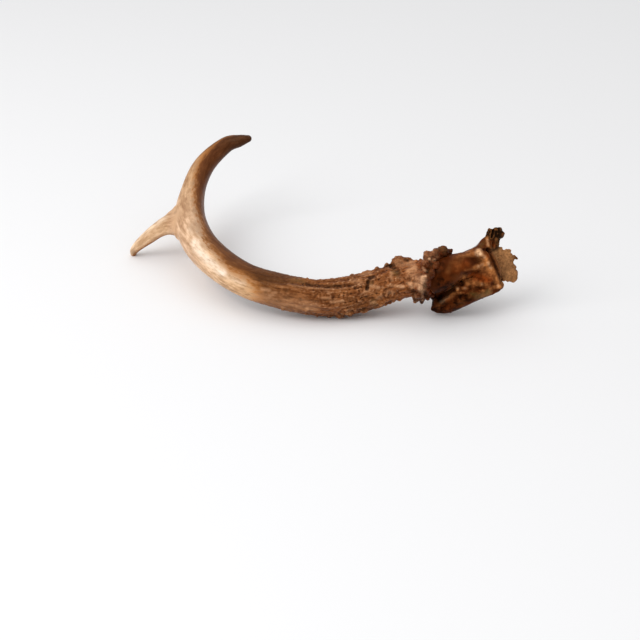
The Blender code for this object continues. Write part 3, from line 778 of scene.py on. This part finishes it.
def burrKnobs():
    # The burr's ring of balls, the knobs that stand out of it, and the small ones on those.
    burr = antler["burr"]
    up = (Vector((0, 0, 1)) - burr["axis"] * burr["axis"].z).normalized()
    back = up.cross(burr["axis"])
    made = []
    chance = np.random.default_rng(burr["seed"])
    for k in range(burr["balls"]):
        turn = 2 * math.pi * k / burr["balls"]
        out = up * math.cos(turn) + back * math.sin(turn)
        shift = chance.uniform(*burr["shifts"]) + burr["lean"] * math.cos(turn)
        at = burr["centre"] + out * burr["radius"] + burr["axis"] * shift
        made.append((at, burr["thickness"] * chance.uniform(*burr["shares"]), 1.0, out))
    for degrees, distance, shift, radius, stretch in burr["knobs"]:
        turn = math.radians(degrees)
        out = up * math.cos(turn) + back * math.sin(turn)
        at = burr["centre"] + out * (distance - radius * burr["sunk"]) + burr["axis"] * shift
        made.append((at, radius, stretch, out))
        for _ in range(burr["crowd"] if stretch > 1 else 0):
            lean = Vector(chance.uniform(-1, 1, 3)).normalized()
            away = out * burr["crowdOut"] + lean * burr["crowdAside"]
            made.append((at + away * radius, radius * chance.uniform(*burr["crowdShares"]),
                         burr["crowdStretch"], lean))
    return made


def ridgeStrands(samples):
    # Long low ropes of horn that lie on the beam, wander a little and fade out at both ends.
    _, up, back, far = pathFrames(samples)
    made = []
    for degrees, start, end in antler["ridges"]:
        inside = (far >= start) & (far <= end)
        share = (far[inside] - start) / (end - start)
        arch = np.sin(math.pi * share) ** antler["ridgeFade"]
        swell = antler["ridgeRadius"] * arch + antler["ridgeTip"]
        depth = samples[inside, 3] - antler["ridgeSink"] - (antler["ridgeRadius"] - swell)
        wander = antler["ridgeWander"] * np.sin(far[inside] * antler["ridgeWave"] + degrees)
        turn = np.radians(degrees + wander)[:, None]
        out = up[inside] * np.cos(turn) + back[inside] * np.sin(turn)
        made.append(np.hstack([samples[inside, :3] + out * depth[:, None], swell[:, None]]))
    return made


def makeFurrowTree(material):
    # Relief that runs with the horn: broad swells, sharp furrows, grit, and beads by the burr.
    tree, add, sizes = newTree("furrows", antler["furrows"])
    grain = add("GeometryNodeInputNamedAttribute", {"data_type": "FLOAT_VECTOR"}, {"Name": "grain"})
    rough = add("GeometryNodeInputNamedAttribute", {"data_type": "FLOAT"}, {"Name": "rough"})
    position = add("GeometryNodeInputPosition")
    swell, furrow, grit, bead = [
        addRelief(add, source, sizes[gap], detail)
        for source, gap, detail in ((grain, "Swell Gap", 1.0), (grain, "Gap", 2.0),
                                    (position, "Grit Gap", 1.0), (position, "Bead Gap", 0.0))]
    # the noise's middle line becomes a sharp furrow
    furrow = add("ShaderNodeMath", {"operation": "ABSOLUTE"}, (furrow,))
    for operation, size in (("MULTIPLY", "Steepness"), ("MINIMUM", "Crest"), ("SUBTRACT", "Middle")):
        furrow = add("ShaderNodeMath", {"operation": operation}, (furrow, sizes[size]))
    swell, furrow, grit, bead = [
        add("ShaderNodeMath", {"operation": "MULTIPLY"}, (layer, sizes[height]))
        for layer, height in ((swell, "Swell"), (furrow, "Depth"), (grit, "Grit"), (bead, "Bead Height"))]
    relief = swell
    for layer in (furrow, add("ShaderNodeMath", {"operation": "MULTIPLY"}, (bead, rough)), grit):
        relief = add("ShaderNodeMath", {"operation": "ADD"}, (relief, layer))
    relief = add("ShaderNodeMath", {"operation": "MULTIPLY"}, (relief, rough))
    endTree(add, pushOut(add, sizes["Geometry"], relief), material)
    return tree


def nearest(at, samples):
    # For each point the path sample whose tube it lies nearest to, and how near.
    best = np.full(len(at), np.inf)
    index = np.zeros(len(at), int)
    for i, sample in enumerate(samples):
        gap = np.linalg.norm(at - sample[:3], axis=1) - sample[3]
        closer = gap < best
        best[closer] = gap[closer]
        index[closer] = i
    return index, best


def measureHorn(mesh, beam, tine):
    # Where each vertex lies along the horn and round it, how far it is to its brown side,
    # brown as sap and in part as painted shade, and how rough and streaky the horn is there
    # and how many glints of painted highlight it has.
    at = places(mesh)
    beam, tine = beam[::2], tine[::2]
    beamAt, beamGap = nearest(at, beam)
    tineAt, tineGap = nearest(at, tine)
    onTine = tineGap < beamGap
    found = []
    for samples, index, isBeam in ((beam, beamAt, True), (tine, tineAt, False)):
        along, up, back, far = pathFrames(samples)
        out = at - samples[index, :3]
        towards = np.tile(antler["tineBrown"], (len(samples), 1))
        if isBeam:
            towards = np.array(antler["bayCentre"]) - samples[:, :3]
            towards -= along * (towards * along).sum(1, keepdims=True)
            towards /= np.linalg.norm(towards, axis=1, keepdims=True)
        found.append((far[index] + (out * along[index]).sum(1), (out * up[index]).sum(1),
                      (out * back[index]).sum(1),
                      (out * towards[index]).sum(1) / np.linalg.norm(out, axis=1)))
    forkFar = pathFrames(beam)[3][nearest(tine[:1, :3], beam)[0][0]]
    far, up, back, inner = [np.where(onTine, t, b) for b, t in zip(*found)]
    far = np.where(onTine, far + forkFar, far)
    ownTone = softStep(beamGap - tineGap, 0, antler["forkBlend"])
    setAttribute(mesh, "along", far + (antler["tineTone"] - far) * ownTone)
    setAttribute(mesh, "grain", np.stack([up, back, far * antler["stretch"]], 1))
    # the grain breaks off where the tines meet, so the horn is plain there
    apart = softStep(np.abs(beamGap - tineGap), 0, antler["forkPlain"])
    setAttribute(mesh, "apart", apart)
    line = np.array(antler["sapAndShadeLine"])
    paler = antler["tinePaler"] * ownTone
    setAttribute(mesh, "sap", inner - np.interp(far, line[:, 0], line[:, 1]) - paler)
    rough = fading(far, *antler["roughFade"])
    setAttribute(mesh, "rough", rough * apart)
    least = antler["burrGlint"]
    setAttribute(mesh, "glinting", rough * (least + (1 - least) * softStep(far, 0, antler["burrReach"])))
    setAttribute(mesh, "streaky", fading(far, *antler["streakyFade"]))


def makeAntler(material):
    beam = smoothPath(antler["beam"])
    tine = smoothPath(antler["shortTine"])
    sweep = makeSweepTree(material)
    knobTree = makeKnobTree(material)
    beamTube = grow(pathMesh([beam]), sweep, sweepSizes)
    rest = grow(pathMesh([tine] + ridgeStrands(beam)), sweep, {"Sides": antler["thinSides"]})
    lumps = grow(knobMesh(burrKnobs() + plainKnobs(antler["bigLumps"])), knobTree, knobSizes)
    ends = plainKnobs(antler["forkWeb"]) + endKnobs(tine) + endKnobs(beam)[1:]
    smooth = grow(knobMesh(ends), knobTree, plainSizes)
    pearls = antler["pearls"]
    beads = grow(beamTube.copy(), makeBeadTree("pearling", pearls, material), pearls)
    print("antler: grown")
    skin = fuse([beamTube, rest, lumps, smooth, beads], antler["voxel"], antler["easing"])
    easeShape(skin, antler["forkRounds"], antler["forkEasing"])
    easeShape(skin, antler["burrRounds"], antler["burrEasing"])
    mould(skin, antler["relief"])
    measureHorn(skin, beam, tine)
    skin = grow(skin, makeFurrowTree(material), antler["furrows"])
    print("antler: furrowed,", len(skin.polygons), "faces")
    skin = thin(skin, antler["triangles"])
    measureHorn(skin, beam, tine)
    setDip(skin, *antler["dipRounds"])
    mark(skin, ("polished", *antler["marks"]), antler)
    print("antler: finished,", len(skin.polygons), "faces")
    place(skin, "antler", material, "root", "antler", "beam", "hooked_tine", "short_tine")


boneLook = {
    "bone": "#50230b",
    # rubbed ridges, lighter as real wear and in part as painted highlight
    "rubbed": "#c27c45",
    # painted highlights, on the ridges and the pedicle's peak
    "bright": "#ffd2a4",
    # dark stain, and painted shade in grooves, pits and hollows
    "stain": "#190501",
    "olive": "#5c5028",
    "lobe": "#a4744a",
    "spur": "#1c0f07",
    "red": "#9c4a1c",
    # Noises: mm between their spots, and detail.
    "mottle": (7.0, 4.0),
    "grain": (1.3, 3.0),
    "edges": (3.0, 3.0),        # what breaks up the marks' edges
    "mottleTone": (0.3, 0.7, 0.72, 1.3),
    "grainTone": (0.3, 0.7, 0.7, 1.3),
    # crests lighter as rubbed bone and painted highlight, dips and hollows darker as dirt and painted shade
    "wearAndShading": (("dip", -0.04, -0.4, 0.4, "rubbed"), ("dip", 0.03, 0.4, 0.8, "stain"),
             ("hollow", 0.4, 2.2, 0.75, "stain")),
    "roughness": 0.3,
    "brokenRougher": 0.35,
    "ior": 1.54,                # typical of horn and bone
    "shine": 0.05,
    "shineColour": "#f0b88a",
    "bumpHeight": 0.3,          # mm
    "bump": 0.4,
}


def makeBoneMaterial():
    # Old skull bone, greasy and handled: dark red-brown and half glossy, paler where
    # its ridges were rubbed and with painted highlights on them, darker with painted shade
    # in its grooves and hollows, and dry, matt and grainy where it broke.
    look = boneLook
    material, shader, add, measured = startMaterial(
        "Old skull bone", look, ("dip", "hollow", "lobe", "spur", "broken", *skull["marks"]))
    at = add("ShaderNodeTexCoord").outputs["Object"]
    mottle, grain, edges = [
        add("ShaderNodeTexNoise", None, {"Vector": at, "Scale": 1 / (gap * mm), "Detail": detail})
        for gap, detail in (look["mottle"], look["grain"], look["edges"])]
    colour = look["bone"]
    for name in ("lobe", "spur"):
        colour = add("ShaderNodeMix", {"data_type": "RGBA"},
                     {"Factor": measured[name], "A": colour, "B": look[name]})
    tone = add("ShaderNodeMapRange", None, (mottle, *look["mottleTone"]))
    speck = add("ShaderNodeMapRange", None, (grain, *look["grainTone"]))
    dry = add("ShaderNodeMix", {"data_type": "FLOAT"}, {"Factor": measured["broken"], "A": 1.0, "B": speck})
    both = add("ShaderNodeMath", {"operation": "MULTIPLY"}, (tone, dry))
    toned = add("ShaderNodeCombineColor", None, (both, both, both))
    colour = add("ShaderNodeMix", {"data_type": "RGBA", "blend_type": "MULTIPLY"},
                 {"Factor": 1.0, "A": colour, "B": toned})
    colour = addWearAndShading(add, colour, measured, look)
    colour = addMarks(add, colour, measured, edges, look, skull["marks"])
    rough = add("ShaderNodeMath", {"operation": "MULTIPLY_ADD", "use_clamp": True},
                (measured["broken"], look["brokenRougher"], look["roughness"]))
    endMaterial(add, shader, colour, rough, grain, look)
    return material


skull = {
    # The round pedicle, which flares into the frontal bone.
    "pedicle": (
        (71, 6.6, 28.8, 11.4), (78, 5.2, 32.4, 12.0), (83, 5, 35.3, 11.4), (88.5, 5.5, 38.1, 9.7),
        (94, 7, 38.9, 9.2), (98.9, 9, 39.6, 8.9), (103.7, 12, 41.5, 8.3), (107.9, 14.5, 45.5, 7.0),
        (110.5, 16.5, 51, 5.0)),
    "spurs": (
        ((110, 15.5, 47, 5.6), (112, 17, 52, 4.2), (112.8, 18.4, 56, 3.4), (113.2, 19, 58.8, 2.8)),
        ((113.2, 17, 46, 5.2), (115.4, 18.3, 50, 4.2), (116.6, 19.2, 53.6, 3.6), (117.8, 20, 57.2, 3.5))),
    "spurEnds": (
        (120.8, 19.6, 57.2, 2.4), (116.4, 19.4, 60, 2.0), (119.4, 20.4, 59.4, 2.1),
        (112.8, 18.8, 60, 1.8), (120.6, 19.6, 55.2, 1.5)),
    "plate": (
        ((88, 9, 42), (98, 9, 46), (107, 12, 48.5), (114, 15, 51)),
        ((88, 11, 36), (98, 8.5, 40), (108, 8, 42.5), (116, 9, 41)),
        ((86, 13, 24), (98, 8, 30), (109, 7, 31.5), (119, 9, 30.5)),
        ((80, 13, 11), (95, 10, 17), (109, 8, 21.5), (120.5, 10, 23))),
    # Bone between the pedicle's underside and the lip, at the bottom of a deep groove.
    "web": (
        (76, 14, 13, 4.5), (83, 13, 18, 5.5), (89, 12, 23, 6.0), (96, 11.5, 28, 6.5), (103, 11, 31, 6.0)),
    "plateThickness": 6.0,
    "rim": (
        (100, 8.5, 46.5, 2.4), (104.5, 7.8, 48.4, 2.8), (109.5, 7.8, 47.6, 2.8), (113.6, 7.6, 44.2, 2.7),
        (116.4, 7.4, 39, 2.7), (118, 7.8, 33.5, 2.7), (118.8, 8.6, 28, 2.6), (119.2, 9.4, 24.2, 2.6)),
    "innerRidge": (
        (98.5, 4.2, 36.6, 1.8), (103, 4.6, 39.2, 2.2), (107, 5.4, 41.2, 2.3), (111.5, 6.8, 43.8, 2.4)),
    "lip": (
        (78.6, 8.8, 6.6, 5.4), (84.4, 7.2, 8.4, 6.2), (91, 5.2, 13.4, 6.8), (98.9, 4.4, 18.2, 6.8),
        (107.2, 5, 20.4, 5.6), (115.5, 7.8, 21, 4.2), (120.4, 9.6, 22.4, 3.4)),
    "wall": (
        ((92, 15, 43), (104, 17, 47), (116, 17, 49.5), (123.7, 17.5, 46)),
        ((91, 19, 35), (104, 25, 38), (117.4, 17.5, 40), (128.2, 17.5, 38.5)),
        ((90, 20, 24), (104, 25, 26), (118.2, 17.5, 30), (131.2, 17.5, 29)),
        ((92, 15, 15), (104, 17, 15), (117.6, 16, 21.6), (130.2, 17, 23.2))),
    "wallThickness": 5.0,
    "fill": (
        (97, 16, 32, 8.0), (108, 17, 34, 8.0), (110, 15, 25, 6.5), (98, 15, 21, 6.0), (105, 13, 38, 7.5),
        (91, 15, 28, 6.0), (112, 15, 42, 6.0), (106.6, 12, 48.6, 4.4), (102.5, 11, 46.2, 4.6),
        (98, 9, 25, 6.5), (105, 9, 26, 6.0)),
    "teeth": (
        (121.0, 17.2, 47.4, 1.2), (124.4, 17.4, 44.8, 1.9), (126.6, 17.4, 45.4, 1.4),
        (126, 17.5, 43, 2.2), (128, 17.6, 40, 1.9), (127.6, 17.5, 42, 1.8), (130, 18, 40.2, 1.5),
        (131.9, 18, 39.4, 1.1), (132.5, 18, 38.8, 0.8), (129.4, 18, 38, 1.2), (128.2, 18, 35.2, 2.2),
        (129.4, 18, 31.8, 3.1), (130.8, 18, 27.8, 3.4), (130.6, 17.6, 23.8, 3.2), (127, 17, 23.2, 1.8)),
    "shelf": (
        (92.4, 3.2, 25, 3.4), (97, 2.6, 27, 3.8), (101.6, 3.0, 27.6, 3.6), (106.4, 4.0, 26.6, 3.4),
        (111.6, 6.4, 27.4, 4.4), (94.4, 1.6, 21, 3.2), (88, 3, 17.6, 2.8), (82.6, 4.4, 13.4, 2.6),
        (77.4, 7, 11.0, 3.2), (76, 9, 9.4, 2.4), (100.6, 1.4, 22.6, 2.6), (106.6, 3.2, 22.6, 2.4),
        (112.5, 5.5, 23, 2.4), (84.6, 7, 4.9, 2.6), (80, 8.6, 4.4, 2.4), (89, 4.6, 9.6, 2.4),
        (86.6, 6.6, 5.8, 2.2), (75.6, 8.6, 4.8, 2.4)),
    "shelfLumpiness": 0.8,
    # Strokes in mm, pressed into the bone one way.
    "pressed": (
        (((103, 4, 34), (109, 5, 33)), 6.0, 1.0), (((100.5, 2, 43), (106, 3.4, 44)), 4.2, 0.8),
        (((116.1, 16, 62), (115.6, 14.5, 55), (113.6, 12.5, 49)), 1.5, 2.2),
        (((119.5, 12, 49), (121.5, 12.5, 40), (123, 13, 30), (122.5, 13, 24)), 2.0, 1.6)),
    "pressedWay": (-0.1, 0.95, -0.1),
    # Strokes on the picture, in its pixels: heights in mm, then what is worn bright and painted with
    # highlights, dark with stain and painted shade, red or mossy.
    "relief": (
        (((479, 252), (484, 256), (488, 263), (493, 273), (497, 281), (499, 286)), 4.5, 1.0),
        (((486, 263), (480, 265.5), (474, 268), (466, 270.5)), 3.8, 1.0),
        (((438, 306), (443, 302), (450, 296.5), (457, 290)), 3.6, 1.1),
        (((456, 287), (460, 293)), 2.6, 0.7), (((463, 288), (467, 289)), 2.6, 0.7),
        (((468, 284), (466, 280)), 2.6, 0.7), (((474, 283), (480, 284)), 2.8, 0.7),
        (((471, 279), (477, 278)), 3, 0.6), (((487, 286), (499, 287)), 2.4, 0.7),
        (((483, 291), (478, 293)), 2.4, 0.6), (((468, 259.5), (476, 260), (482, 261)), 5.5, -1.0),
        (((464, 274.5), (474, 273), (482, 274), (489, 277)), 5, -1.0),
        (((488, 249), (491, 254), (494, 262), (498, 272), (501, 280)), 2.6, -1.5),
        (((436, 302), (442, 295), (450, 289), (457, 285), (462, 283.5)), 3, -1.6),
        (((458, 296), (466, 296.5)), 3.6, -2.4), (((484, 249.5), (494, 250.5)), 2.4, -0.7),
        (((492.8, 226), (493, 231), (492, 237)), 1.8, -1.6),
        (((443, 308), (450, 302), (456, 300)), 2.8, -1.5), (((444, 298), (450, 292)), 2.8, -0.8),
        (((462, 284), (461, 290)), 2, -1.0), (((470, 287), (470, 293)), 2, -1.0),
        (((477, 288), (483, 288)), 2, -0.8), (((462, 304), (458, 306)), 2.2, -1.0)),
    "marks": ("red", "olive", "rubbed", "stain", "bright"),
    # Rubbed ridges and crumbs, lighter as real wear and in part as painted highlight.
    "rubbed": (
        (((479, 252), (483, 255.5), (487, 263), (492, 271), (496, 279), (498.5, 285)), 3.0, 1.0),
        (((486, 263), (480, 265.5), (475, 268.5)), 2.8, 0.7), (((483, 270), (491, 275)), 4, 0.7),
        (((483, 258), (489, 267)), 4, 0.5), (((470, 253), (477, 252.5)), 4, 0.6),
        (((466, 254), (456, 258)), 3.4, 0.3), (((487, 238), (488, 246)), 2, 0.7),
        (((438, 305), (445, 299.5), (456, 291)), 3.4, 0.36), (((456, 288), (460, 293)), 2.4, 0.4),
        (((463, 288), (466, 289)), 2, 0.35), (((468, 284), (464, 279)), 2.4, 0.3),
        (((474, 283), (477, 282)), 2, 0.4), (((480, 284), (486, 285)), 2.6, 0.6),
        (((490, 288), (496, 287), (500.5, 287)), 2, 0.6), (((471, 279),), 2.6, 0.5),
        (((496, 239), (497, 243)), 1.6, 0.4), (((483, 291),), 1.8, 0.55),
        (((452, 262), (448, 272)), 3, 0.16), (((461, 256), (457, 268)), 3.4, 0.2),
        (((456, 280), (466, 280), (474, 284)), 5, 0.22), (((463, 276),), 3.4, 0.2),
        (((480, 259), (484, 262)), 4, 0.3)),
    # Painted highlights on the ridges, the pedicle's peak and the crumbs.
    "bright": (
        (((441, 302), (448, 296.5)), 1.8, 0.15), (((478.5, 252.5),), 3.6, 1.1),
        (((481, 253.5), (484, 257)), 1.8, 0.5), (((488, 263), (491, 268)), 1.6, 0.35),
        (((478, 266.5), (483, 264.5)), 1.4, 0.3), (((487.5, 240), (488, 245)), 1.4, 0.3),
        (((465, 288.5),), 1.5, 0.2), (((457.5, 288.5),), 1.6, 0.25), (((498, 286),), 1.6, 0.4),
        (((482, 284),), 1.4, 0.3)),
    # Dark stain, and painted shade in the groove under the pedicle, in pits and under the lip.
    "stain": (
        (((433, 300), (437, 296), (440, 304)), 4, 0.9),
        (((440, 293), (449, 286), (456, 283), (462, 283)), 2.6, 1.0),
        (((435, 296), (444, 288), (456, 280.5)), 4.4, 0.7), (((458, 296.5), (466, 297)), 3, 1.1),
        (((435, 310), (447, 313), (457, 308)), 3.2, 0.9), (((436, 301), (444, 306), (452, 307)), 7, 1.2),
        (((466, 301), (478, 297)), 4, 0.55),
        (((488, 249), (491, 254), (494, 262), (498, 272), (501, 280)), 2.2, 0.8),
        (((464, 273.5), (472, 272), (479, 271.5)), 1.8, 0.65),
        (((469, 259.5), (476, 260), (482, 261)), 3.4, 0.55),
        (((484, 249.5), (492, 250.5), (497, 249)), 2, 0.85),
        (((493, 227), (493, 232), (492, 237)), 1.5, 0.6), (((516, 257), (512, 259)), 2.2, 0.8),
        (((508, 250),), 2, 0.4), (((504, 274.5),), 2.6, 0.4), (((475, 289), (479, 288)), 2.4, 0.5),
        (((470, 287), (472, 291)), 1.6, 0.5), (((462, 286),), 1.7, 0.6),
        (((444, 263), (443, 270)), 3, 0.35), (((436, 266), (437, 274), (440, 284)), 7, 0.75),
        (((442, 282), (452, 277)), 5, 0.5), (((444, 262), (450, 268)), 4, 0.3),
        (((438, 305), (434, 309)), 4, 0.6), (((462, 298), (468, 298)), 3.4, 0.8),
        (((455, 304), (448, 309)), 4, 0.5), (((444, 306), (451, 303)), 2.2, 0.5),
        (((500, 283),), 1.6, 0.5)),
    "red": (
        (((474, 277), (489, 277)), 5, 0.9), (((482, 280), (487, 281)), 2.6, 0.6),
        (((456, 268), (466, 264)), 5, 0.3), (((447, 299), (451, 303), (447, 311)), 3, 0.6),
        (((487, 256),), 2.6, 0.7), (((455, 280), (445, 281)), 4, 0.5), (((466, 262),), 4, 0.2),
        (((492, 242), (494, 246)), 2.4, 0.5), (((436, 278),), 3, 0.4)),
    "olive": (
        (((470, 295), (480, 296), (488, 292)), 3.4, 0.5), (((481, 246), (484, 242)), 2, 0.6),
        (((453, 284), (450, 290)), 2, 0.35), (((463, 302), (460, 305)), 3, 0.15)),
    # Strokes in mm: the seam's pale lobe, the dark spur, and what is broken and dry.
    "lobe": (
        (((121, 14, 46), (124, 14, 36), (127, 14, 25)), 12, 1.6),
        (((104, 0, 19), (112, 3, 20.5)), 4, 0.7)),
    "spur": ((((112, 17, 58), (113, 18, 64)), 6, 1.4), (((115, 17, 51), (119, 19.5, 63)), 7, 1.5)),
    "broken": (
        (((77, 8, 6), (90, 3, 16), (99, 1, 24), (108, 4, 24), (120, 8, 22)), 8.5, 1.5),
        (((121, 14, 46), (124, 14, 36), (127, 14, 25)), 12, 1.6),
        (((112, 17, 57), (118, 19, 62)), 8, 1.5)),
    "shelfEasing": ((((80, 5, 10), (88, 3, 18), (98, 2, 26), (108, 4, 26)), 12, 1.0),),
    "shelfRounds": 14,
    "baseRounds": 22,
    "dipRounds": (10, 70),
    "sides": 40,
    "sheetLevels": 4,
    "voxel": 0.45,
    "easing": 5,
    "triangles": 150000,
    "crumbs": {"Reach": 50.0, "Least Gap": 1.8, "Most": 0.04, "Small": 0.6, "Large": 1.7,
               "Far Share": 0.55, "Stretch": 0.8, "Seed": 3},
    "crumbling": {"Broad": 0.6, "Broad Gap": 6.0, "Pitting": 1.5, "Pit Gap": 2.0},
}


def boneSheet(rows, thickness):
    # A sheet of bone: a grid of points on its middle surface, rounded off.
    shape = bmesh.new()
    grid = [[shape.verts.new(point) for point in row] for row in rows]
    for upper, lower in zip(grid, grid[1:]):
        for k in range(len(upper) - 1):
            shape.faces.new((upper[k], lower[k], lower[k + 1], upper[k + 1]))
    mesh = bpy.data.meshes.new("sheet")
    shape.to_mesh(mesh)
    shape.free()
    item = linked("sheet", mesh)
    rounded = item.modifiers.new("Round", "SUBSURF")
    rounded.levels = rounded.render_levels = skull["sheetLevels"]
    thick = item.modifiers.new("Thick", "SOLIDIFY")
    thick.thickness = thickness
    thick.offset = 0
    return finished(item)


def makeCrumbleTree(material):
    # Broad unevenness everywhere, and pits and crumbs where the bone broke.
    tree, add, sizes = newTree("crumbling", skull["crumbling"])
    broken = add("GeometryNodeInputNamedAttribute", {"data_type": "FLOAT"}, {"Name": "broken"})
    position = add("GeometryNodeInputPosition")
    broad, pits = [
        add("ShaderNodeMath", {"operation": "MULTIPLY"},
            (addRelief(add, position, sizes[gap], detail), sizes[height]))
        for gap, detail, height in (("Broad Gap", 1.0, "Broad"), ("Pit Gap", 2.0, "Pitting"))]
    pits = add("ShaderNodeMath", {"operation": "MULTIPLY"}, (pits, broken))
    relief = add("ShaderNodeMath", {"operation": "ADD"}, (broad, pits))
    endTree(add, pushOut(add, sizes["Geometry"], relief), material)
    return tree


def makeSkull(material):
    sweep = makeSweepTree(material)
    knobTree = makeKnobTree(material)
    sides = {"Sides": skull["sides"]}
    strands = [smoothPath(skull[key]) for key in ("pedicle", "lip", "rim", "innerRidge", "web")]
    strands += [smoothPath(path) for path in skull["spurs"]]
    tubes = grow(pathMesh(strands), sweep, sides)
    # the pedicle starts flat, against the burr
    ends = [knob for strand in strands for knob in endKnobs(strand)][1:]
    solid = grow(knobMesh(ends + plainKnobs(skull["fill"])), knobTree, plainSizes)
    sheets = [boneSheet(skull["plate"], skull["plateThickness"]),
              boneSheet(skull["wall"], skull["wallThickness"])]
    base = fuse([tubes, solid] + sheets, skull["voxel"], 0)
    easeShape(base, skull["baseRounds"])
    at = places(base)
    setPlaces(base, at + drawn(at, skull["pressed"])[:, None] * np.array(skull["pressedWay"]))
    print("skull: pressed")
    knobs = plainKnobs(skull["teeth"] + skull["shelf"] + skull["spurEnds"])
    lumps = grow(knobMesh(knobs), knobTree, {**knobSizes, "Lumpiness": skull["shelfLumpiness"]})
    lipTube = grow(pathMesh([strands[1]]), sweep, sides)
    crumbed = grow(lipTube, makeBeadTree("crumbs", skull["crumbs"], material), skull["crumbs"])
    skin = fuse([base, lumps, crumbed], skull["voxel"], skull["easing"])
    setAttribute(skin, "broken", np.minimum(drawn(places(skin), skull["broken"]), 1))
    mould(skin, skull["relief"])
    easeShape(skin, skull["shelfRounds"], skull["shelfEasing"])
    skin = thin(grow(skin, makeCrumbleTree(material), skull["crumbling"]), skull["triangles"])
    setDip(skin, *skull["dipRounds"])
    for name in ("broken", "lobe", "spur"):
        setAttribute(skin, name, np.clip(drawn(places(skin), skull[name]), 0, 1))
    mark(skin, skull["marks"], skull)
    print("skull: finished,", len(skin.polygons), "faces")
    place(skin, "skull", material, "root", "skull_bone", "skull_piece")


stage = {
    "sensor": 36,
    "floorSize": 12,            # m
    "floorColour": "#f2f2f3",
    "floorRoughness": 0.9,
    "skyStrength": 0.95,        # straight above
    "skyLow": 0.15,             # at the horizon
    "skyEdge": 0.86,            # how high it reaches full strength, as the height of a unit arrow
    "keyPlace": (-1.1, -0.8, 1.1),
    "keyAim": (0, 0, 0.02),
    "keySize": 1.3,
    "keyPower": 16.0,
}


def makeStage():
    turn = math.radians(view["elevation"])
    away = Vector((0, -math.cos(turn), math.sin(turn)))
    camera = linked("camera", bpy.data.cameras.new("camera"))
    camera.data.sensor_width = stage["sensor"]
    camera.data.lens = stage["sensor"] * view["distance"] / (2 * view["middle"] * view["pixel"])
    camera.location = (view["target"] + frameShift + away * view["distance"]) * mm
    camera.rotation_euler = (math.radians(90) - turn, 0, 0)
    bpy.context.scene.camera = camera

    bpy.ops.mesh.primitive_plane_add(size=stage["floorSize"])
    floor = bpy.context.object
    floor.name = "floor"
    paper = bpy.data.materials.new("White paper")
    paper.use_nodes = True
    shader = paper.node_tree.nodes["Principled BSDF"]
    shader.inputs["Base Color"].default_value = toLinear(stage["floorColour"])
    shader.inputs["Roughness"].default_value = stage["floorRoughness"]
    floor.data.materials.append(paper)

    # a broad soft box overhead, which fades towards the horizon
    sky = bpy.data.worlds.new("sky")
    sky.use_nodes = True
    add = partial(addNode, sky.node_tree)
    way = add("ShaderNodeSeparateXYZ", None, (add("ShaderNodeTexCoord").outputs["Generated"],))
    strength = add("ShaderNodeMapRange", {"interpolation_type": "SMOOTHSTEP"},
                   (way.outputs["Z"], 0.0, stage["skyEdge"], stage["skyLow"], stage["skyStrength"]))
    background = sky.node_tree.nodes["Background"]
    background.inputs["Color"].default_value = (1, 1, 1, 1)
    sky.node_tree.links.new(strength.outputs[0], background.inputs["Strength"])
    bpy.context.scene.world = sky

    key = linked("key", bpy.data.lights.new("key", "AREA"))
    key.data.size = stage["keySize"]
    key.data.energy = stage["keyPower"]
    key.location = stage["keyPlace"]
    key.rotation_euler = (Vector(stage["keyAim"]) - key.location).to_track_quat("-Z", "Y").to_euler()
    bpy.context.scene.view_settings.view_transform = "Standard"


makeAntler(makeAntlerMaterial())
makeSkull(makeBoneMaterial())
makeStage()
print("stage: set")
